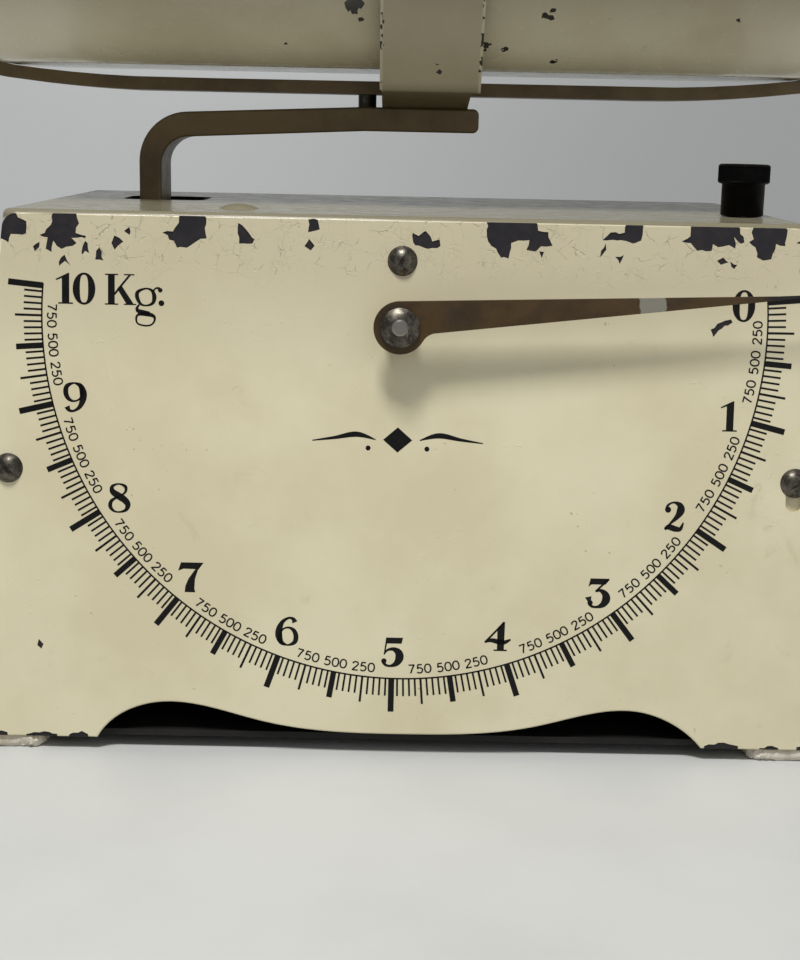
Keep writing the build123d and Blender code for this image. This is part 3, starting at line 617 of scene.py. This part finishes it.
# Numerals one unit high. Each has strokes (x, y, width), plain outlines and dots (x, y, radius).
NINE = {"width": 0.76, "loops": [[(0.36, 0.965, 0.05), (0.13, 0.87, 0.13), (0.08, 0.66, 0.15),
    (0.16, 0.46, 0.12), (0.34, 0.37, 0.06), (0.54, 0.45, 0.06), (0.62, 0.66, 0.1), (0.56, 0.88, 0.08)]],
    "strokes": [[(0.38, 0.965, 0.05), (0.56, 0.88, 0.14), (0.65, 0.66, 0.21), (0.64, 0.42, 0.19),
    (0.53, 0.18, 0.12), (0.34, 0.05, 0.07), (0.19, 0.07, 0.10), (0.12, 0.19, 0.17)]]}
SIX = {"width": 0.76, "loops": [[(0.76 - x, 1 - y, w) for x, y, w in NINE["loops"][0]]],
       "strokes": [[(0.76 - x, 1 - y, w) for x, y, w in NINE["strokes"][0]]]}
NUMERALS = {
    "0": {"width": 0.76, "rings": [(oval(0.38, 0.5, 0.37, 0.52),
        oval(0.38, 0.5, 0.135, 0.45, squareness=0.7))]},
    "1": {"width": 0.58, "outlines": [[(0.22, 0.03), (0.46, 0.03), (0.46, 1.0), (0.42, 1.0), (0.02, 0.80),
        (0.03, 0.76), (0.22, 0.83)], [(0.1, 0), (0.58, 0), (0.58, 0.045), (0.1, 0.045)]]},
    "2": {"width": 0.7, "strokes": [[(0.10, 0.72, 0.10), (0.15, 0.88, 0.07), (0.34, 0.965, 0.06),
        (0.53, 0.88, 0.17), (0.57, 0.70, 0.24), (0.45, 0.48, 0.15), (0.24, 0.26, 0.07),
        (0.07, 0.05, 0.06)], [(0.05, 0.08, 0.05), (0.2, 0.14, 0.17), (0.42, 0.08, 0.17),
        (0.58, 0.09, 0.12), (0.67, 0.3, 0.04)]], "dots": [(0.15, 0.72, 0.10)]},
    "3": {"width": 0.7, "outlines": [[(0.04, 0.72), (0.1, 1.0), (0.74, 1.0), (0.70, 0.92), (0.6, 0.8),
        (0.14, 0.8)]], "strokes": [[(0.71, 0.975, 0.06), (0.49, 0.77, 0.06), (0.28, 0.56, 0.06)],
        [(0.28, 0.56, 0.05), (0.44, 0.60, 0.1), (0.6, 0.48, 0.2), (0.64, 0.3, 0.25), (0.53, 0.12, 0.18),
        (0.34, 0.04, 0.08), (0.17, 0.06, 0.08), (0.08, 0.15, 0.1)]], "dots": [(0.11, 0.18, 0.09)]},
    "4": {"width": 0.86, "outlines": [[(0.42, 0.04), (0.65, 0.04), (0.67, 1.0), (0.61, 0.97),
        (0.42, 0.76)], [(0.31, 0), (0.75, 0), (0.75, 0.05), (0.31, 0.05)]], "strokes":
        [[(0.64, 0.98, 0.06), (0.33, 0.63, 0.06), (0.02, 0.3, 0.06)], [(0.0, 0.28, 0.03),
        (0.2, 0.36, 0.12), (0.44, 0.32, 0.15), (0.66, 0.3, 0.13), (0.87, 0.4, 0.05)]]},
    "5": {"width": 0.74, "outlines": [[(0.15, 0.8), (0.17, 1.0), (0.74, 1.0), (0.69, 0.8)], [(0.1, 0.42),
        (0.14, 0.42), (0.21, 0.82), (0.15, 0.82)]], "strokes": [[(0.11, 0.43, 0.04), (0.22, 0.57, 0.07),
        (0.42, 0.61, 0.12), (0.59, 0.5, 0.22), (0.63, 0.32, 0.25), (0.53, 0.13, 0.18), (0.35, 0.04, 0.08),
        (0.18, 0.06, 0.08), (0.09, 0.16, 0.1)]], "dots": [(0.11, 0.2, 0.09)]},
    "6": SIX,
    "7": {"width": 0.8, "outlines": [[(0.0, 0.72), (0.09, 1.0), (0.84, 1.0), (0.68, 0.78), (0.18, 0.79)],
        [(0.22, 0.0), (0.24, 0.2), (0.34, 0.45), (0.5, 0.68), (0.58, 0.79), (0.84, 1.0), (0.65, 0.74),
        (0.56, 0.45), (0.54, 0.14), (0.57, 0.0)]]},
    "8": {"width": 0.76, "loops": [[(0.37, 0.965, 0.05), (0.59, 0.88, 0.10), (0.58, 0.69, 0.07),
        (0.38, 0.55, 0.05), (0.14, 0.41, 0.10), (0.09, 0.22, 0.12), (0.20, 0.07, 0.07),
        (0.38, 0.03, 0.05), (0.6, 0.10, 0.10), (0.67, 0.28, 0.17), (0.56, 0.44, 0.20), (0.36, 0.57, 0.21),
        (0.17, 0.71, 0.17), (0.16, 0.88, 0.10)]]},
    "9": NINE,
    "K": {"width": 0.98, "outlines": [[(0.1, 0.02), (0.32, 0.02), (0.32, 0.98), (0.1, 0.98)], [(0.0, 0),
        (0.43, 0), (0.43, 0.04), (0.0, 0.04)], [(0.0, 0.96), (0.43, 0.96), (0.43, 1.0), (0.0, 1.0)],
        [(0.62, 0.96), (0.96, 0.96), (0.96, 1.0), (0.62, 1.0)], [(0.62, 0), (1.02, 0), (1.02, 0.04),
        (0.62, 0.04)], [(0.40, 0.52), (0.52, 0.66), (0.94, 0.03), (0.70, 0.03)]], "strokes":
        [[(0.82, 0.98, 0.06), (0.56, 0.66, 0.06), (0.31, 0.34, 0.06)]]},
    "g": {"width": 0.84, "loops": [[(0.34, 0.545, 0.05), (0.08, 0.44, 0.10), (0.05, 0.26, 0.12),
        (0.16, 0.05, 0.08), (0.34, -0.005, 0.05), (0.55, 0.07, 0.09), (0.61, 0.27, 0.13),
        (0.54, 0.47, 0.09)], [(0.34, -0.28, 0.13), (0.58, -0.34, 0.10), (0.62, -0.48, 0.06),
        (0.52, -0.62, 0.05), (0.32, -0.66, 0.05), (0.08, -0.60, 0.05), (0.02, -0.45, 0.06),
        (0.08, -0.31, 0.07)]], "strokes": [[(0.12, 0.02, 0.05), (0.05, -0.08, 0.08), (0.08, -0.18, 0.12),
        (0.25, -0.23, 0.14), (0.45, -0.27, 0.13)], [(0.56, 0.45, 0.05), (0.66, 0.56, 0.05),
        (0.78, 0.56, 0.07)]], "dots": [(0.8, 0.50, 0.075)]},
    ".": {"width": 0.2, "dots": [(0.1, 0.08, 0.095)]},
}
SMALL_NUMERALS = {
    "0": [("closed", [(0.34, 1.0), (0.56, 0.9), (0.66, 0.62), (0.66, 0.38), (0.56, 0.1), (0.34, 0.0),
        (0.12, 0.1), (0.02, 0.38), (0.02, 0.62), (0.12, 0.9)])],
    "2": [("open", [(0.05, 0.76), (0.13, 0.94), (0.33, 1.0), (0.54, 0.94), (0.6, 0.74), (0.5, 0.54),
        (0.26, 0.28), (0.04, 0.0)]), ("open", [(0.0, 0.0), (0.32, 0.0), (0.64, 0.0)])],
    "5": [("open", [(0.58, 1.0), (0.36, 1.0), (0.14, 1.0)]), ("open", [(0.16, 1.04), (0.12, 0.78),
        (0.08, 0.52)]), ("open", [(0.07, 0.54), (0.3, 0.63), (0.54, 0.54), (0.62, 0.32), (0.52, 0.08),
        (0.28, 0.0), (0.04, 0.1)])],
    "7": [("open", [(0.0, 1.0), (0.3, 1.0), (0.62, 1.0)]), ("open", [(0.6, 1.02), (0.36, 0.5),
        (0.2, 0.0)])],
}
NUMERAL_H, NUMERAL_WEIGHT = 9.6, 1.1
SMALL_H, SMALL_LINE, SMALL_PITCH = 2.7, 0.45, 2.55


def draw_numeral(bm, character, place):
    glyph = NUMERALS[character]
    for kind in ("strokes", "loops"):
        for stroke in glyph.get(kind, ()):
            heavier = [(x, y, width * NUMERAL_WEIGHT) for x, y, width in stroke]
            pen_stroke(bm, heavier, place, closed=kind == "loops")
    for outline in glyph.get("outlines", ()):
        prism(bm, [place(x, y) for x, y in outline])
    for outer, inner in glyph.get("rings", ()):
        band(bm, [place(*point) for point in outer], [place(*point) for point in inner], closed=True)
    for x, y, radius in glyph.get("dots", ()):
        prism(bm, [place(*point) for point in oval(x, y, radius, radius, 20)])


def upright(left, base, height):
    return lambda x, y: (left + x * height, base + y * height)


def draw_scale_line(bm):
    """Arc with a mark for each 50 g, longer or heavier at 250 g, 500 g and 1 kg."""
    first, last = kg_angle(0) + 0.006, kg_angle(FULL_KG) - 0.006
    steps = 190
    edges = ([], [])
    for step in range(steps + 1):
        angle = first + (last - first) * step / steps
        for edge, shift in zip(edges, (-ARC_LINE / 2, ARC_LINE / 2)):
            radius = arc_radius(angle) + shift
            edge.append((radius * cos(angle), radius * sin(angle)))
    band(bm, *edges)
    for index in range(FULL_KG * 20 + 1):
        length, width = 5.7, 0.62
        if index % 5 == 0:
            length, width = 8.4, 0.72
        if index % 10 == 0:
            length, width = 8.5, 1.8
        if index % 20 == 0:
            length, width = 10.9, 1.9
        angle = kg_angle(index / 20)
        c, s = cos(angle), sin(angle)
        foot, corners = arc_radius(angle), []
        for radius, side in ((foot, -1), (foot, 1), (foot + length, 1), (foot + length, -1)):
            corners.append((radius * c - side * width / 2 * s, radius * s + side * width / 2 * c))
        prism(bm, corners)


def draw_small_label(bm, text, kg):
    """Three small figures inside the arc, their heads towards the pointer axis."""
    angle = kg_angle(kg)
    base = arc_radius(angle) - 1.8
    for index, character in enumerate(text):
        turn = angle + (index - 1) * SMALL_PITCH / (base - SMALL_H / 2)
        c, s = cos(turn), sin(turn)

        def place(x, y):
            side, radius = (x - 0.34) * SMALL_H * 1.1, base - y * SMALL_H
            return radius * c - side * s, radius * s + side * c

        for kind, points in SMALL_NUMERALS[character]:
            line = [(x, y, SMALL_LINE / SMALL_H) for x, y in points]
            pen_stroke(bm, line, place, closed=kind == "closed")


def draw_big_numerals(bm):
    """Upright numerals inside the arc, each set clear of the small figures."""
    centres = {0: (107.6, 8.8), 1: (104.3, -25.9), 2: (88.3, -58.1), 3: (64.9, -83.4), 4: (33.3, -98),
               5: (-0.5, -103.9), 6: (-34.2, -97.7), 7: (-65.3, -80.8), 8: (-88, -55.7), 9: (-101.9, -24)}
    for digit, (x, y) in centres.items():
        character = str(digit)
        left = x - NUMERALS[character]["width"] * NUMERAL_H / 2
        draw_numeral(bm, character, upright(left, y - NUMERAL_H / 2, NUMERAL_H))
    left, base = -108.0, 5.2
    for character, advance in (("1", 0.56), ("0", 1.06), ("K", 1.0), ("g", 0.74), (".", 0)):
        draw_numeral(bm, character, upright(left, base, NUMERAL_H))
        left += advance * NUMERAL_H


def draw_ornament(bm):
    """Plain printer's ornament on the middle of the dial: a lozenge between two tapering rules."""
    middle = -35.5
    prism(bm, [(-4.6, middle), (0, middle + 4.0), (4.6, middle), (0, middle - 4.0)])
    for side in (-1, 1):
        rule = [(side * x, middle + y, w)
                for x, y, w in ((7, 0, 0.3), (13, 1.6, 1.7), (20, 0.4, 1.0), (27, -0.6, 0.3))]
        pen_stroke(bm, rule, lambda x, y: (x, y))
        prism(bm, oval(side * 9.3, middle - 2.7, 0.8, 0.8, 16))


def dial_print(ink):
    bm = bmesh.new()
    draw_scale_line(bm)
    for kg in range(FULL_KG):
        for grams in (250, 500, 750):
            draw_small_label(bm, str(grams), kg + grams / 1000)
    draw_big_numerals(bm)
    draw_ornament(bm)
    piece = new_object("dial_print", bm, ink)
    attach(piece, "frame")


# ---------------------------------------------------------------- dial plate with chipped enamel
CHIP_DEPTH = 0.3
# Chips as outlines of (dial x, distance below the plate's top edge), mm.
TOP_CHIPS = (
    ((-127, 0.6), (-120, 0.2), (-118, 2.2), (-116.8, 2.6), (-117, 6.4), (-121.6, 6.6), (-122.4, 9.4),
     (-127, 6.2)),
    ((-108, -2), (-102.4, -2), (-100.4, 3), (-101.6, 6), (-98.4, 6.8), (-98.6, 7.6), (-102.7, 7.6),
     (-101.3, 9.2), (-105.8, 11), (-108.4, 8.6), (-109, 12.1), (-110.8, 11), (-110.4, 7.6), (-112.8, 6.9),
     (-109.2, 3.6)),
    ((-115, 10.4), (-112.8, 8.8), (-113, 10.6), (-114.4, 12)),
    ((-106.8, 15), (-104.9, 12.6), (-103, 16), (-104.8, 14.6), (-106.6, 16.4)),
    ((-99.8, 11.8), (-98.6, 8.2), (-97.2, 12), (-98.6, 11.4), (-99.6, 12.6)),
    ((-95.4, 14.2), (-95.2, 11.2), (-94.2, 10.4), (-92.8, 14.4)),
    ((-90.4, 8.8), (-89.6, 6.6), (-86.8, 8.4), (-89.4, 10.8)),
    ((-86.4, 5), (-84.8, 3.8), (-84.9, 6.4)),
    ((-68.8, -2), (-61.4, -2), (-60.9, 6.8), (-64.4, 8), (-67, 9.9), (-70.2, 9.9), (-70.9, 7.8),
     (-74.6, 5.4), (-71.4, 4.8), (-69.4, 2.2)),
    ((-51, 1.8), (-47.5, 5), (-45.8, 6.7), (-46.4, 8.2), (-50.6, 8.2)),
    ((-29.3, 0.3), (-26.4, 0.3), (-25.6, 3.4), (-29.2, 4.4)),
    ((-28.9, 6.4), (-27, 8.4), (-28.2, 9.8), (-30.2, 8.6)),
    ((3.4, 3.8), (5.2, 4.6), (7.5, 3.2), (9, 4.8), (9.4, 6.4), (11.8, 5.6), (12.2, 7.6), (8.3, 8.6),
     (4.2, 7.8)),
    ((26, -2), (41.4, -2), (42.5, 2.2), (45.7, 2.6), (47, 6.8), (43.5, 7), (41.6, 8.8), (38.8, 8.2),
     (39.8, 5.4), (36.2, 5.6), (34.2, 6.4), (33.6, 11), (31.2, 10.8), (29.4, 8.2), (27, 6)),
    ((43, 8.6), (44.6, 8.8), (43.8, 10.8)),
    ((70.4, -2), (75.5, -2), (74.6, 4.8), (72, 5.6), (70, 5), (62.6, 4.9), (65, 2.5), (69.5, 2.3)),
    ((63.6, 5.8), (63.9, 7.6), (62, 10.2), (62.2, 8)),
    ((66.8, 9.8), (69.4, 9.4), (68.2, 12.2)),
    ((90.5, -2), (103.6, -2), (105.6, 2), (106.9, 4.6), (105.8, 5.2), (103.7, 3), (104, 6.6), (102, 5.6),
     (100, 6.2), (97.3, 5.4), (96.8, 7.4), (92.4, 7.6), (90, 5.2), (87.3, 4.7), (90, 3)),
    ((98.6, 10.6), (100.6, 9.3), (102.3, 11), (99.8, 11.8)),
    ((102.6, 10.6), (104.9, 11.6), (104, 13)),
    ((109, -2), (119.6, -2), (120, 2.8), (119.8, 5.4), (116.8, 5), (115.6, 9.6), (112.8, 10), (111, 9.2),
     (110.4, 6), (108.2, 4.6), (109.6, 3.4)),
    ((123, 4.4), (131, 3), (131, 5.6)),
    ((-113.6, 134.8), (-112.2, 136.6), (-112.8, 138), (-114.2, 137)),
    ((97.5, 31.8), (99.6, 30), (101.8, 29), (103.8, 28.5), (104.2, 29.6), (102, 30.6), (100, 32.2),
     (98.4, 34.2)),
    ((60.8, 118), (63, 117.4), (62, 119.6)),
)
# Chips along the plate's lower edge as (left, right, height), mm.
FOOT_CHIPS = ((-139, -124, 2.2), (-118, -108, 1.6), (-104, -98, 2.0), (101, 112, 2.2), (119, 125, 1.4),
              (131, 139, 2.6))


def ragged(outline, size=0.45):
    """Outline with its edges broken into short uneven pieces."""
    points = []
    for index, (x, y) in enumerate(outline):
        next_x, next_y = outline[(index + 1) % len(outline)]
        parts = max(1, round(hypot(next_x - x, next_y - y) / 1.6))
        for part in range(parts):
            share = part / parts
            jump = size if part else size * 0.3
            points.append((x + (next_x - x) * share + random.uniform(-jump, jump),
                           y + (next_y - y) * share + random.uniform(-jump, jump)))
    return points


def chip_cutter(steel, edge):
    bm = bmesh.new()
    low, high = DIAL_T - CHIP_DEPTH, DIAL_T + 1
    for outline in TOP_CHIPS:
        prism(bm, ragged([(x, TOP_EDGE - below) for x, below in outline]), low, high, 0, 1)
    foot = (PLATE_LOW.z - PIVOT.z) / MM / UP.z
    for left, right, rise in FOOT_CHIPS:
        outline = [(left, foot - 2), (right, foot - 2), (right, foot + rise * 0.5),
                   ((left + right) / 2 + 1, foot + rise), (left, foot + rise * 0.4)]
        prism(bm, ragged(outline, 0.3), low, high, 0, 1)
    return new_object("chip_cutter", bm, steel, edge)


def chipped_dial_plate(enamel, steel, edge):
    plate = new_object("dial_plate_enamelled", welded_mesh("dial_plate"), enamel, steel, edge)
    cutter = chip_cutter(steel, edge)
    cut = plate.modifiers.new("chips", "BOOLEAN")
    cut.operation = "DIFFERENCE"
    cut.solver = "EXACT"
    cut.material_mode = "TRANSFER"
    cut.object = cutter
    apply_modifiers(plate)
    bpy.data.objects.remove(cutter)
    smooth(plate.data, 30)
    # The flat face is shaded flat: its long thin triangles would streak otherwise.
    for polygon in plate.data.polygons:
        if abs(polygon.normal.dot(OUT)) > 0.999:
            polygon.use_smooth = False
    stand_for(plate, "frame", "enamel_dial", "dial_plate")


# ---------------------------------------------------------------- pan
def pan_ring(bm, corner, long_half, short_half, grow, z, middle_y, steps=20):
    """Rounded rectangle of points, moved out by grow, at one height."""
    radius = corner + grow
    ring = []
    for quarter, (sx, sy) in enumerate(((1, 1), (-1, 1), (-1, -1), (1, -1))):
        centre_x, centre_y = sx * (long_half - corner), sy * (short_half - corner)
        for step in range(steps + 1):
            angle = pi / 2 * (quarter + step / steps)
            ring.append(bm.verts.new(((centre_x + radius * cos(angle)) * MM,
                                      middle_y + (centre_y + radius * sin(angle)) * MM, z)))
    return ring


def enamelled_pan(material):
    """Pressed pan with a rolled rim, one closed skin outside and inside."""
    low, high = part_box("pan")
    middle_y = (low.y + high.y) / 2
    rim_r, sheet, corner = 2.6, 0.9, 12.0
    long_half = (high.x - low.x) / 2 / MM - PAN_WIDEST
    short_half = (high.y - low.y) / 2 / MM - PAN_WIDEST
    outer = [(-2.0, 0.0)]
    for step in range(31):
        height = (PAN_DEPTH - rim_r) * (step / 30) ** 2.2
        outer.append((pan_flare(height + 0.35) - 2.4, height))
    rim_middle = (PAN_WIDEST - rim_r, PAN_DEPTH)
    rim = []
    for step in range(15):
        angle = radians(-70 + 250 * step / 14)
        rim.append((rim_middle[0] + rim_r * cos(angle), rim_middle[1] + rim_r * sin(angle)))
    inner = [(grow - sheet, max(height + 0.2, sheet)) for grow, height in reversed(outer[2:])]
    inner.append((-3.0, sheet))
    bm = bmesh.new()
    rings = []
    for grow, height in outer + rim + inner:
        rings.append(pan_ring(bm, corner, long_half, short_half, grow, low.z + height * MM, middle_y))
    skin(bm, rings)
    pan = new_object("pan_enamelled", bm, material, smooth_angle=38)
    stand_for(pan, "pan", "enamel_pan", "pan")


# ---------------------------------------------------------------- knob, feet, springs
def knurled_knob(material):
    low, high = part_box("zero_knob")
    centre = Vector(((low.x + high.x) / 2, (low.y + high.y) / 2, 0))
    cap_r = (high.x - low.x) / 2 / MM
    stem_r, cap_h = 7.15, 6.4
    base, top = low.z / MM, high.z / MM
    step_z = top - cap_h
    around, ridges, twist = 216, 54, 0.55

    profile = [(stem_r - 0.5, base, 0), (stem_r, base + 0.5, 0), (stem_r, step_z - 0.3, 0),
               (stem_r + 0.3, step_z, 0), (cap_r - 0.6, step_z, 0), (cap_r, step_z + 0.6, 0)]
    rows = 14
    for row in range(rows + 1):
        profile.append((cap_r, step_z + 0.7 + (cap_h - 1.4) * row / rows, 0.38))
    profile += [(cap_r, top - 0.6, 0), (cap_r - 0.7, top, 0), (cap_r - 2.2, top, 0),
                (cap_r - 2.4, top - 0.25, 0)]
    bm = bmesh.new()
    rings = []
    for radius, z, depth in profile:
        ring = []
        for index in range(around):
            angle = 2 * pi * index / around
            phase = ridges * angle + (z - step_z) * ridges * twist / cap_r
            tooth = abs((phase / (2 * pi)) % 1.0 - 0.5) * 2
            r = radius - depth * tooth
            ring.append(bm.verts.new(centre + Vector((r * cos(angle), r * sin(angle), z)) * MM))
        rings.append(ring)
    skin(bm, rings)
    knob = new_object("zero_knob_knurled", bm, material, smooth_angle=45)
    stand_for(knob, "zero_knob", "blackened_steel", "zero_knob")


def felt_foot(node, material):
    """Pad of rough felt, a little squashed, with a frayed side."""
    low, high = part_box(node)
    middle = (low + high) / 2
    half_x, half_y = (high.x - low.x) / 2, (high.y - low.y) / 2
    around = 200
    profile = ((0.6, 0.0), (0.94, 0.0), (1.0, 0.12), (1.03, 0.35), (1.02, 0.6), (1.0, 0.85), (0.94, 1.0),
               (0.6, 1.0))
    bm = bmesh.new()
    rings = []
    for share, rise in profile:
        ring = []
        for index in range(around):
            angle = 2 * pi * index / around
            c, s = cos(angle), sin(angle)
            x = half_x * share * fuller(c, 0.35)
            y = half_y * share * fuller(s, 0.35)
            z = low.z + (high.z - low.z) * rise
            point = Vector((middle.x + x, middle.y + y, z))
            fray = noise.noise(point * 1100) * 0.8 * MM + noise.noise(point * 250) * 0.9 * MM
            if share > 0.9:
                point += Vector((c, s, 0)) * fray
            ring.append(bm.verts.new(point))
        rings.append(ring)
    skin(bm, rings)
    pad = new_object(node + "_felt", bm, material, smooth_angle=60)
    stand_for(pad, "frame", "felt", node)


def coil_spring(node, material):
    """Wound spring between its two pins. It stretches between the frame and the lower link."""
    low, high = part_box(node)
    centre = (low + high) / 2
    wire, eye = 0.75 * MM, 4 * MM
    radius = (high.x - low.x) / 2 - wire
    turns, per_turn = 30, 20
    count = turns * per_turn
    points = []
    for index in range(count + 1):
        angle = 2 * pi * index / per_turn
        z = low.z + eye + (high.z - low.z - 2 * eye) * index / count
        points.append(Vector((centre.x + radius * cos(angle), centre.y + radius * sin(angle), z)))
    bm = bmesh.new()
    tube(bm, points, wire, 8)
    for end, way in ((low.z, 1), (high.z, -1)):
        loop = []
        for step in range(15):
            angle = 2 * pi * step / 14
            z = end + way * eye * (1 - cos(angle)) / 2
            loop.append(Vector((centre.x + eye * sin(angle), centre.y, z)))
        tube(bm, loop, wire, 8)
    spring = new_object(node + "_coil", bm, material, smooth_angle=60)
    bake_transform(spring)
    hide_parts(node)


# ---------------------------------------------------------------- finishes on the carried-over nodes
def paint_nodes(finishes):
    """Gives each CAD node the finish of its material slot; a few nodes have one of their own."""
    slot_of = {part["node"]: part["material_slot"] for part in frame["record"]["subparts"]}
    own = {"cross_strap": "enamel_strap"}
    for name, node in frame["nodes"].items():
        finish = finishes[own.get(name, slot_of[name])]
        if not node.material_slots:
            node.data.materials.append(finish)
        for slot in node.material_slots:
            slot.material = finish


# ---------------------------------------------------------------- floor, light, camera
def stage():
    surface = Surface("studio_floor", Specular_IOR_Level=0.35)
    color = surface.mottled((120, 4), 0.3, 0.7, rgb(198, 199, 196), rgb(190, 191, 188))
    # Painted shade: the backdrop wall is lighter on the left and darker on the right.
    sideways = surface.along((1, 0, 0), (0, 0, 0))
    wall = surface.mix(surface.span(sideways, -500, 500), rgb(243, 245, 243), rgb(212, 214, 212))
    color = surface.mix(surface.span(surface.along((0, 1, 0), (0, 0, 0)), 250, 900), color, wall)
    floor_finish = surface.finish(color, 0.42, surface.bump(surface.noise(3, 3), 0.05))
    near, far, bend, height, half = -2.5, 1.5, 0.35, 2.6, 3.5
    profile = [(near, 0.0), (far, 0.0)]
    for step in range(1, 13):
        angle = pi / 2 * step / 12
        profile.append((far + bend * sin(angle), bend * (1 - cos(angle))))
    profile.append((far + bend, height))
    bm = bmesh.new()
    rows = [[bm.verts.new((x, y, z)) for x in (-half, half)] for y, z in profile]
    for first, second in zip(rows, rows[1:]):
        bm.faces.new((first[0], first[1], second[1], second[0]))
    floor = new_object("floor", bm, floor_finish, smooth_angle=60)


def area_light(name, place, target, size, power, color=(1, 1, 1)):
    light = bpy.data.lights.new(name, "AREA")
    light.shape = "RECTANGLE"
    light.size, light.size_y = size
    light.energy = power
    light.color = color
    made = bpy.data.objects.new(name, light)
    made.location = place
    made.rotation_euler = (Vector(target) - Vector(place)).to_track_quat("-Z", "Y").to_euler()
    bpy.context.scene.collection.objects.link(made)


def light_room():
    world = bpy.data.worlds.new("room")
    world.use_nodes = True
    background = world.node_tree.nodes["Background"]
    background.inputs["Color"].default_value = (0.97, 0.98, 1.0, 1)
    background.inputs["Strength"].default_value = 0.30
    bpy.context.scene.world = world
    area_light("key", (-0.16, -0.60, 1.35), (0, -0.05, 0.08), (0.30, 0.26), 18)
    area_light("fill", (0.9, -1.4, 0.7), (0, 0, 0.1), (1.2, 1.0), 2.5)


def camera():
    lens, yaw, pitch, roll = 60.0, 0.30, 12.34, 1.21
    data = bpy.data.cameras.new("camera")
    data.lens = lens
    data.clip_start = 0.01
    made = bpy.data.objects.new("camera", data)
    turn = Matrix.Rotation(radians(-yaw), 4, "Z") @ Matrix.Rotation(radians(90 - pitch), 4, "X")
    made.matrix_world = (Matrix.Translation((-0.0016, -0.5829, 0.1976)) @ turn
                         @ Matrix.Rotation(radians(roll), 4, "Z"))
    bpy.context.scene.collection.objects.link(made)
    bpy.context.scene.camera = made


FINISHES = {
    "enamel_body": enamel_body(), "enamel_dial": enamel_dial(), "enamel_pan": enamel_pan(),
    "enamel_arm": bronze_paint(), "enamel_strap": enamel_strap(), "blackened_steel": blackened_steel(),
    "black_paint": black_paint(), "felt": felt(), "plain_steel": plain_steel(), "brass": brass(),
    "pointer_bronze": pointer_bronze(),
}
paint_nodes(FINISHES)
chipped_dial_plate(FINISHES["enamel_dial"], bare_steel(), enamel_edge())
dial_print(dial_ink())
enamelled_pan(FINISHES["enamel_pan"])
knurled_knob(knob_black())
for foot in ("foot_front_left", "foot_front_right", "foot_back_left", "foot_back_right"):
    felt_foot(foot, FINISHES["felt"])
for spring in ("spring_front", "spring_back"):
    coil_spring(spring, FINISHES["plain_steel"])
softened("long_strap", "load_arm", "enamel_arm", FINISHES["enamel_arm"], 0.7)
softened("cross_strap", "load_arm", "enamel_arm", FINISHES["enamel_strap"], 0.5)
softened("pointer", "pointer", "pointer_bronze", FINISHES["pointer_bronze"], 0.15)

stage()
light_room()
camera()
bpy.context.scene.view_settings.view_transform = "Standard"
